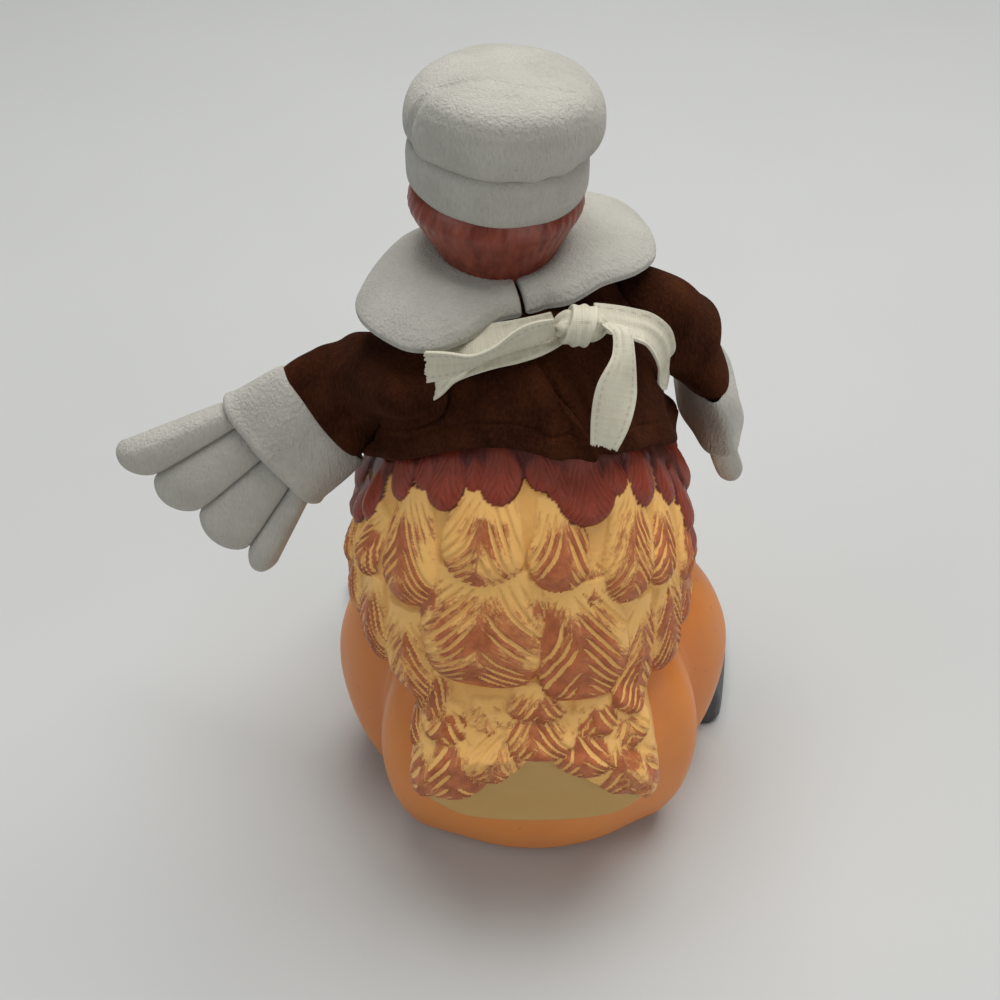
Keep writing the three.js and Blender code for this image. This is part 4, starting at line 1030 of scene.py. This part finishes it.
def sleeveSkin(side):
    spot = armSpot(side)
    first, last = arms["sleeve"][0][0], arms["sleeve"][-1][0]

    def pointAt(u, v):
        s = first + (last - first) * v
        push = arms[side]["cuffPush"]
        half, thick = alongRows(arms["sleeve"], s).T
        s = s - push * smoothStep(4, 26, s)
        ends = np.where(atEnds(v), 0, 1)
        turn = 2 * np.pi * u
        folds = 0.5 * np.sin(s * 0.55 + 2 * np.sin(turn)) * bell(s - 6, 9)
        lumps = 0.5 * np.sin(3 * turn + 0.2 * s)
        grown = (folds + lumps) * smoothStep(-12, -4, s) * ends
        rear = arms[side]["rear"] * bell(s - 1, 8) * np.clip(np.sin(turn), 0, 1) ** 1.5 * ends
        points = spot(s, (half * ends + grown) * np.cos(turn), (thick * ends + grown + rear) * np.sin(turn))
        return offJacket(points + np.array(arms[side]["root"]) * smoothStep(8, first, s)[:, None])

    piece = skin("sleeve" + side.title(), 72, 70, pointAt)
    finishPiece(piece, brownVelour, None, "brown_velour", "sleeve_" + side)
    bendAcross(piece, spot, arms["sewnTo"], arms["freeFrom"])


def cuffSkin(side):
    spot = armSpot(side)

    def pointAt(u, v):
        turn, ring = 2 * np.pi * u, 2 * np.pi * v
        long = (arms["cuffTo"] - arms["cuffFrom"]) / 2
        s = arms["cuffFrom"] + long + long * signedPower(np.sin(ring), 0.5)
        share = (s - arms["cuffFrom"]) / (2 * long)
        s = s - arms[side]["cuffPush"] * (1 - 0.6 * share)
        out = arms["cuffThick"] * (0.5 + 0.5 * np.cos(ring)) + arms["cuffFlare"] * share
        roll = 0.9 * bell(share - 0.93, 0.08) * (np.cos(ring) > -0.3)
        waves = 0.5 * np.sin(3 * turn + 0.8) + 0.35 * np.sin(7 * turn + 3 * share)
        soft = waves * (0.4 + 0.6 * share) * (np.cos(ring) > -0.5)
        grown = out + roll + soft
        return spot(s, (arms["cuffHalf"] + grown) * np.cos(turn), (arms["cuffDeep"] + grown) * np.sin(turn))

    piece = skin("cuff" + side.title(), 110, 40, pointAt)
    finishPiece(piece, whiteVelour, side + "_arm", "white_velour", "cuff_" + side)


def handSkin(side):
    spot = armSpot(side)
    fingers = arms[side]["fingers"]
    count = len(fingers)
    outlines = []
    for root, tip, halfRoot, halfTip in fingers:
        root, tip = np.array(root), np.array(tip)
        heading = unit(tip - root)
        over = np.array([-heading[1], heading[0]])
        atRoot, atTip = over * halfRoot, over * halfTip
        outlines.append((root - atRoot, tip - atTip, root + atRoot, tip + atTip))
    roots, tips = [outlines[0][0]], [outlines[0][1]]
    for before, after in zip(outlines, outlines[1:]):
        roots.append((before[2] + after[0]) / 2)
        tips.append((before[3] + after[1]) / 2 * 0.97)
    roots.append(outlines[-1][2])
    tips.append(outlines[-1][3])
    roots, tips = np.array(roots), np.array(tips)
    across = np.linspace(-arms["wristHalf"], arms["wristHalf"], count + 1)
    wrist = np.column_stack([np.full(count + 1, arms["wristBack"]), across])
    palm = arms["palm"]

    def pointAt(u, t):  # u runs over the top and back below, t from the wrist to the fingertips
        top = u < 0.5
        q = np.clip(np.where(top, u * 2, (1 - u) * 2), 0, 1) * count
        index = np.clip(q.astype(int), 0, count - 1)
        c = (q - index)[:, None]
        bulge = 1 - (2 * c[:, 0] - 1) ** 2
        first = smoothStep(0, palm, t)
        here, base, end = (row[index] * (1 - c) + row[index + 1] * c for row in (wrist, roots, tips))
        end = end + unit(end - base) * (arms["tipRound"] * bulge**0.7)[:, None]
        line = here + (base - here) * np.minimum(t / palm, 1)[:, None]
        outward = base + (end - base) * np.clip((t - palm) / (1 - palm), 0, 1)[:, None]
        flat = np.where((t < palm)[:, None], line, outward)
        crease = 0.34 + 0.66 * np.clip(bulge, 0, 1) ** 0.42
        outerEdge = np.clip(np.minimum(q, count - q) / 0.32, 0, 1)
        rim = np.sqrt(np.clip(1 - (1 - outerEdge) ** 2, 0, 1))
        tipFade = np.sqrt(np.clip(1 - np.clip((t - 0.72) / 0.28, 0, 1) ** 2.2, 0, 1))
        rootFade = 0.75 + 0.25 * smoothStep(0.1, 0.45, t)
        full = first * crease + (1 - first) * 0.8
        high = arms[side]["handThick"] * full * rim * tipFade * rootFade
        high = np.where(t < 1e-6, 0, high)
        return spot(arms["wrist"] + flat[:, 0], flat[:, 1], np.where(top, high, -high))

    piece = skin("hand" + side.title(), 192, 72, pointAt)
    finishPiece(piece, whiteVelour, None, "white_velour", "hand_" + side)
    bendAcross(piece, spot, arms["cuffHolds"], arms["palmFrom"])


for side in ("left", "right"):
    sleeveSkin(side)
    cuffSkin(side)
    handSkin(side)
print("arms made")


# Tie: rows on the jacket are turn, height, lift, half width, free ones a point, the way across, half width
tie = {
    "right": [[-14.5, 24.5, 186, -0.05, -1, 0.1, 4.9], [-24, 19, 180, -0.15, -1, 0.2, 4.9],
              [-28.5, 17, 177, -0.35, -0.9, 0.25, 4.9], [-31.5, 16, 173.5, -0.5, -0.8, 0.25, 4.9],
              [-33.5, 14.5, 168, -0.55, -0.85, 0.05, 4.9], [-34, 10.5, 160, -0.4, -0.8, 0.2, 4.8],
              [-36.5, 2, 153, -0.2, -0.7, 0.7, 4.8], [-38, -7, 147, 0, -0.4, 1, 4.8],
              [-34, -20.5, 139.5, 0, 0, 1, 4.7]],
    "left": [[118, 185, 9, 2.6], [102, 183.2, 6.8, 3], [84, 181, 5.2, 3.4], [68, 177.6, 3, 4],
             [55, 171.5, 0.8, 4.8], [38, 167, 0, 5], [18, 158.6, 0, 5], [2, 148.6, 0.1, 4.8],
             [-14, 142.2, 0.1, 4.7], [-28, 140.1, 0, 4.6], [-38, 139.9, -0.2, 4.4]],
    "waist": [[-29, 140, 1.3, 4.9], [-42, 140.2, 0.8, 5], [-60, 141.4, 0.2, 5.2], [-90, 142.2, 0.2, 5.2],
              [-120, 141.6, 0.2, 5.2], [-148, 139, 0.2, 4.6]],
    "radius": 40, "stand": 3.2, "thick": 0.8,
    "knotAt": (-9.5, 30.2, 187.6), "knotHalf": (7, 4.6, 4.8),
    "tailLeft": [[-3.05, 31.5, 187.5, 0.1, 0.35, 1, 3.6], [4, 34, 185.8, 0.1, 0.5, 1, 4.9],
                 [12, 36, 182.8, 0.2, 0.75, 1, 4.8], [18.5, 37, 181.2, 0.2, 0.6, 1, 4],
                 [24, 37.5, 181, 0.25, 0.3, 1, 4.4], [30, 38, 181, 0.2, 0.2, 1, 5.4]],
    "tailRight": [[-16.6, 31.5, 189.2, 1, 0.3, 0.3, 2.4], [-19.6, 36, 190.2, 1, 0.3, 0.1, 2.2],
                  [-20.2, 41, 186.4, 1, 0.2, 0.1, 2.8], [-18.4, 45.5, 178.6, 1, 0.15, 0.05, 5.4],
                  [-16.9, 48.5, 171, 1, 0, 0, 5], [-15.4, 50.5, 164.2, 1, -0.1, 0, 3.4]],
}


def weaveOn(piece, u, v, width, length):  # thread spots and the two stitched lines near the edges
    keep(piece, "weave", np.column_stack([u * width, v * length, 0 * u]))
    line = bell((np.abs(u - 0.5) - 0.36) * width, 0.35)
    keep(piece, "stitch", line * (0.6 + 0.4 * np.sign(np.sin(v * length * 2.2))))


def strapPiece(name, rows, node):
    table = np.column_stack([np.linspace(0, 1, len(rows)), np.asarray(rows, float)])
    piece, u, v = startGrid(name, 16, 90)
    turn, z, lift, half = alongRows(table, v).T
    ahead = headingOf(alongRows, table, v)
    run = unit(np.column_stack([tie["radius"] * np.radians(ahead[:, 0]), ahead[:, 1]]))
    t = 2 * u - 1
    turned = np.radians(turn) - t * half * run[:, 1] / tie["radius"]
    level = z + t * half * run[:, 0]
    near = np.clip((jacket["foldTop"] - level) / (jacket["foldTop"] - jacket["foldLow"]), 0, 1)
    sag = 0.5 * np.sin(3 * np.pi * v) * (1 - t**2) + 0.35 * t**3
    place(piece, bodyPoint(turned, level, tie["stand"] + lift + jacket["foldDeep"] * near + sag))
    weaveOn(piece, u, v, width=10, length=60)
    thicken(piece, tie["thick"])
    finishPiece(piece, muslin, "figure", "muslin", node)


def tailPiece(name, rows, rider, node, frayed=1.3):
    piece, u, v = startGrid(name, 44, 110)
    line = alongLine(rows, v)
    run = unit(headingOf(alongLine, rows, v)[:, :3])
    across = unit(line[:, 3:6] - run * np.sum(line[:, 3:6] * run, axis=1, keepdims=True))
    out = np.cross(run, across)
    t = 2 * u - 1
    curl = 1.1 * t**2 * np.sin(4 * v + 0.5) + 0.5 * np.sin(9 * v) * t
    curl = curl + 0.5 * bell(t - 0.2, 0.2) * np.sin(5 * v)
    fray = frayed * smoothStep(0.988, 1, v) * (scatter(np.round(u * 44)) - 0.6)
    points = line[:, :3] + across * (t * line[:, 6])[:, None]
    place(piece, points + out * curl[:, None] + run * fray[:, None])
    weaveOn(piece, u, v, width=10, length=55)
    thicken(piece, tie["thick"])
    finishPiece(piece, muslin, rider, "muslin", node)


strapPiece("tieStrapLeft", tie["left"], "tie_strap_left")
strapPiece("apronWaistband", tie["waist"], "apron_waistband")
tailPiece("tieStrapRight", tie["right"], "figure", "tie_strap_right", 0.0)
tailPiece("tieTailLeft", tie["tailLeft"], "left_tail", "tie_tail_left")
tailPiece("tieTailRight", tie["tailRight"], "right_tail", "tie_tail_right")


def knotPoint(u, v):
    rise, turn = np.pi * (v - 0.5), 2 * np.pi * u
    poles = np.where(atEnds(v), 0, np.cos(rise))
    ball = np.column_stack([np.sin(rise), poles * np.sin(turn), poles * np.cos(turn)])
    across = ball[:, 0] + 0.22 * ball[:, 2]
    band = smoothStep(0.52, 0.4, np.abs(across - 0.05))
    ridges = 0.05 * np.cos(17 * (across - 0.05)) * band
    gathers = 0.09 * np.sin(4 * turn + 3 * across + 0.7) * (1 - band)
    wrap = 0.2 * band - 0.1 * bell(np.abs(across - 0.05) - 0.52, 0.07) + ridges + gathers
    return np.array(tie["knotAt"]) + ball * np.array(tie["knotHalf"]) * (0.94 + wrap)[:, None]


knot, u, v = startGrid("tieKnot", 110, 110)
place(knot, knotPoint(u, v))
weaveOn(knot, u, v, width=30, length=14)
closeUp(knot)
finishPiece(knot, muslin, "figure", "muslin", "tie_knot")
print("tie made")

# Apron panel hanging in front
apron = {"half": 29, "top": 136.9, "bottom": 99, "folds": 5, "foldDeep": 1.3, "stand": 5.4, "over": 3.4,
         "thick": 0.9, "bend": 9}


def apronPoint(u, down):
    t = 2 * u - 1
    z = apron["top"] + (apron["bottom"] - apron["top"]) * down
    middle, half, back, front = alongRows(body["stations"], z).T
    outset = apron["stand"] + apron["over"] * smoothStep(0.02, 0.4, down)
    outset = outset + apron["foldDeep"] * down * np.cos(apron["folds"] * np.pi * t)
    x = tail["middle"] + apron["half"] * (0.9 + 0.1 * down) * t
    share = np.abs((x - middle) / (half + outset)) ** body["square"]
    depth = (back - front) / 2 + outset
    y = (back + front) / 2 - depth * np.clip(1 - share, 0, 1) ** (1 / body["square"])
    return np.column_stack([x, y, z])


apronPanel, u, v = startGrid("apronPanel", 80, 50)
place(apronPanel, apronPoint(u, v))
weaveOn(apronPanel, u, v, width=58, length=40)
thicken(apronPanel, apron["thick"])
finishPiece(apronPanel, muslin, None, "muslin", "apron_panel")
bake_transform(apronPanel)
print("apron made")

# Legs and shoes
legs = {
    "right": [[-16, -36, 94], [-25, -53, 85], [-39, -60, 62], [-51, -51, 38], [-57.5, -40, 20],
              [-60, -37, 10]],
    "left": [[20, -36, 94], [28, -53, 86], [38, -62, 64], [46, -61, 40], [51.5, -52, 20], [53, -50, 10]],
    "radius": 7, "shoeLong": 26, "shoeHalf": 10.5, "shoeTall": 19,
    "shoeRight": [[-60, -28], [-0.12, -0.99]], "shoeLeft": [[54, -55], [0.25, -0.97]],
    "last": [[-1.02, 0.01, 0.3], [-1, 0.5, 0.7], [-0.86, 0.85, 0.95], [-0.4, 0.95, 1], [0.2, 1, 0.85],
             [0.7, 0.95, 0.7], [0.93, 0.7, 0.55], [1, 0.36, 0.4], [1.015, 0.01, 0.2]],
}


def legSkin(side):
    def pointAt(u, v):
        line = alongLine(legs[side], v)
        run = unit(headingOf(alongLine, legs[side], v, 0.02))
        over = unit(np.cross(run, [0.3, 0.1, 1.0]))
        out = np.cross(run, over)
        turn = 2 * np.pi * u
        rings = 0.35 * np.sin(v * 70) * smoothStep(0.45, 0.6, v)
        radius = np.where(atEnds(v), 0, legs["radius"] + rings - 0.2)
        return line + over * (radius * np.cos(turn))[:, None] + out * (radius * np.sin(turn))[:, None]

    piece = skin("leg" + side.title(), 40, 90, pointAt)
    finishPiece(piece, billPaint, "figure", "bill_paint", "leg_" + side)


def shoeSkin(side):
    middle, heading = legs["shoe" + side.title()]
    ahead = unit(heading)
    first, last = legs["last"][0][0], legs["last"][-1][0]

    def pointAt(u, v):
        t = first + (last - first) * v
        wide, tall = alongRows(legs["last"], t).T
        wide = np.where(atEnds(v), 0, wide)
        turn = 2 * np.pi * u
        sole = 0.8 * bell(np.sin(turn) + 0.35, 0.12)
        off = (legs["shoeHalf"] * wide + sole * wide) * np.cos(turn)
        z = np.maximum(0, legs["shoeTall"] * tall * (0.35 + 0.65 * np.sin(turn)))
        run = legs["shoeLong"] * t
        x = middle[0] + ahead[0] * run + ahead[1] * off
        y = middle[1] + ahead[1] * run - ahead[0] * off
        return np.column_stack([x, y, z])

    piece = skin("shoe" + side.title(), 56, 60, pointAt)
    finishPiece(piece, shoePaint, "figure", "shoe_paint", "shoe_" + side)


for side in ("left", "right"):
    legSkin(side)
    shoeSkin(side)
print("legs and shoes made")


# Camera, floor and light
stage = {
    "cameraAt": (0.011, 0.3524, 0.3999), "cameraTurn": (50, 0, 180), "lens": 54.07,
    "sensor": 36, "near": 0.01,
    "floor": (0.57, 0.58, 0.575), "wide": 6.0, "below": 0.0004, "aim": (0, 0, 0.1),
    "lamps": {
        "overhead": [(-0.15, -0.3, 1.33), 1.1, 18.6, (1, 0.99, 0.965)],
        "window": [(1.3, 0.6, 0.9), 1.2, 4.8, (0.96, 0.98, 1)],
        "fill": [(-0.9, 1.1, 0.65), 1.2, 5.2, (1, 0.97, 0.94)],
    },
    "world": (0.93, 0.96, 1, 1), "worldPower": 0.15,
}
camera = bpy.data.objects.new("camera", bpy.data.cameras.new("camera"))
bpy.context.scene.collection.objects.link(camera)
camera.location = stage["cameraAt"]
camera.rotation_euler = [math.radians(a) for a in stage["cameraTurn"]]
camera.data.lens, camera.data.sensor_width = stage["lens"], stage["sensor"]
camera.data.clip_start = stage["near"]
bpy.context.scene.camera = camera

floor, u, v = startGrid("floor", 8, 8)
spread = np.column_stack([u - 0.5, v - 0.5, 0 * u]) * stage["wide"]
place(floor, (spread - [0, 0, stage["below"]]) / mm)
bpy.ops.object.shade_smooth()
floorFinish, floorTree, floorShader = newFinish("floorPaper", stage["floor"], 0.9)
paper = mottle(floorTree, objectSpot(floorTree), 9, 2.0)
darker = tuple(0.985 * c for c in stage["floor"])
tone = mixColour(floorTree, reach(floorTree, paper, 0.3, 0.7), darker, stage["floor"])
floorTree.links.new(tone, floorShader.inputs["Base Color"])
floor.data.materials.append(floorFinish)
floor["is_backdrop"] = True


def addLamp(name, at, size, power, colour):  # a square lamp that faces the figure
    lamp = bpy.data.lights.new(name, "AREA")
    lamp.shape, lamp.size, lamp.energy, lamp.color = "SQUARE", size, power, colour
    held = bpy.data.objects.new(name, lamp)
    bpy.context.scene.collection.objects.link(held)
    held.location = at
    x, y, z = np.subtract(at, stage["aim"])
    held.rotation_euler = (math.atan2(math.hypot(x, y), z), 0, math.atan2(x, -y))


for name, (at, size, power, colour) in stage["lamps"].items():
    addLamp(name, at, size, power, colour)
world = bpy.context.scene.world or bpy.data.worlds.new("room")
bpy.context.scene.world = world
world.use_nodes = True
backdrop = world.node_tree.nodes["Background"].inputs
backdrop["Color"].default_value = stage["world"]
backdrop["Strength"].default_value = stage["worldPower"]
bpy.context.scene.view_settings.view_transform = "Standard"

visualLow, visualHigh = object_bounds()
boxes = {"cad": [list(cadLow), list(cadHigh)], "visual": [list(visualLow), list(visualHigh)]}
for name, (low, high) in boxes.items():
    print(name, "box in mm:", [round(x / mm, 1) for x in (*low, *high)])
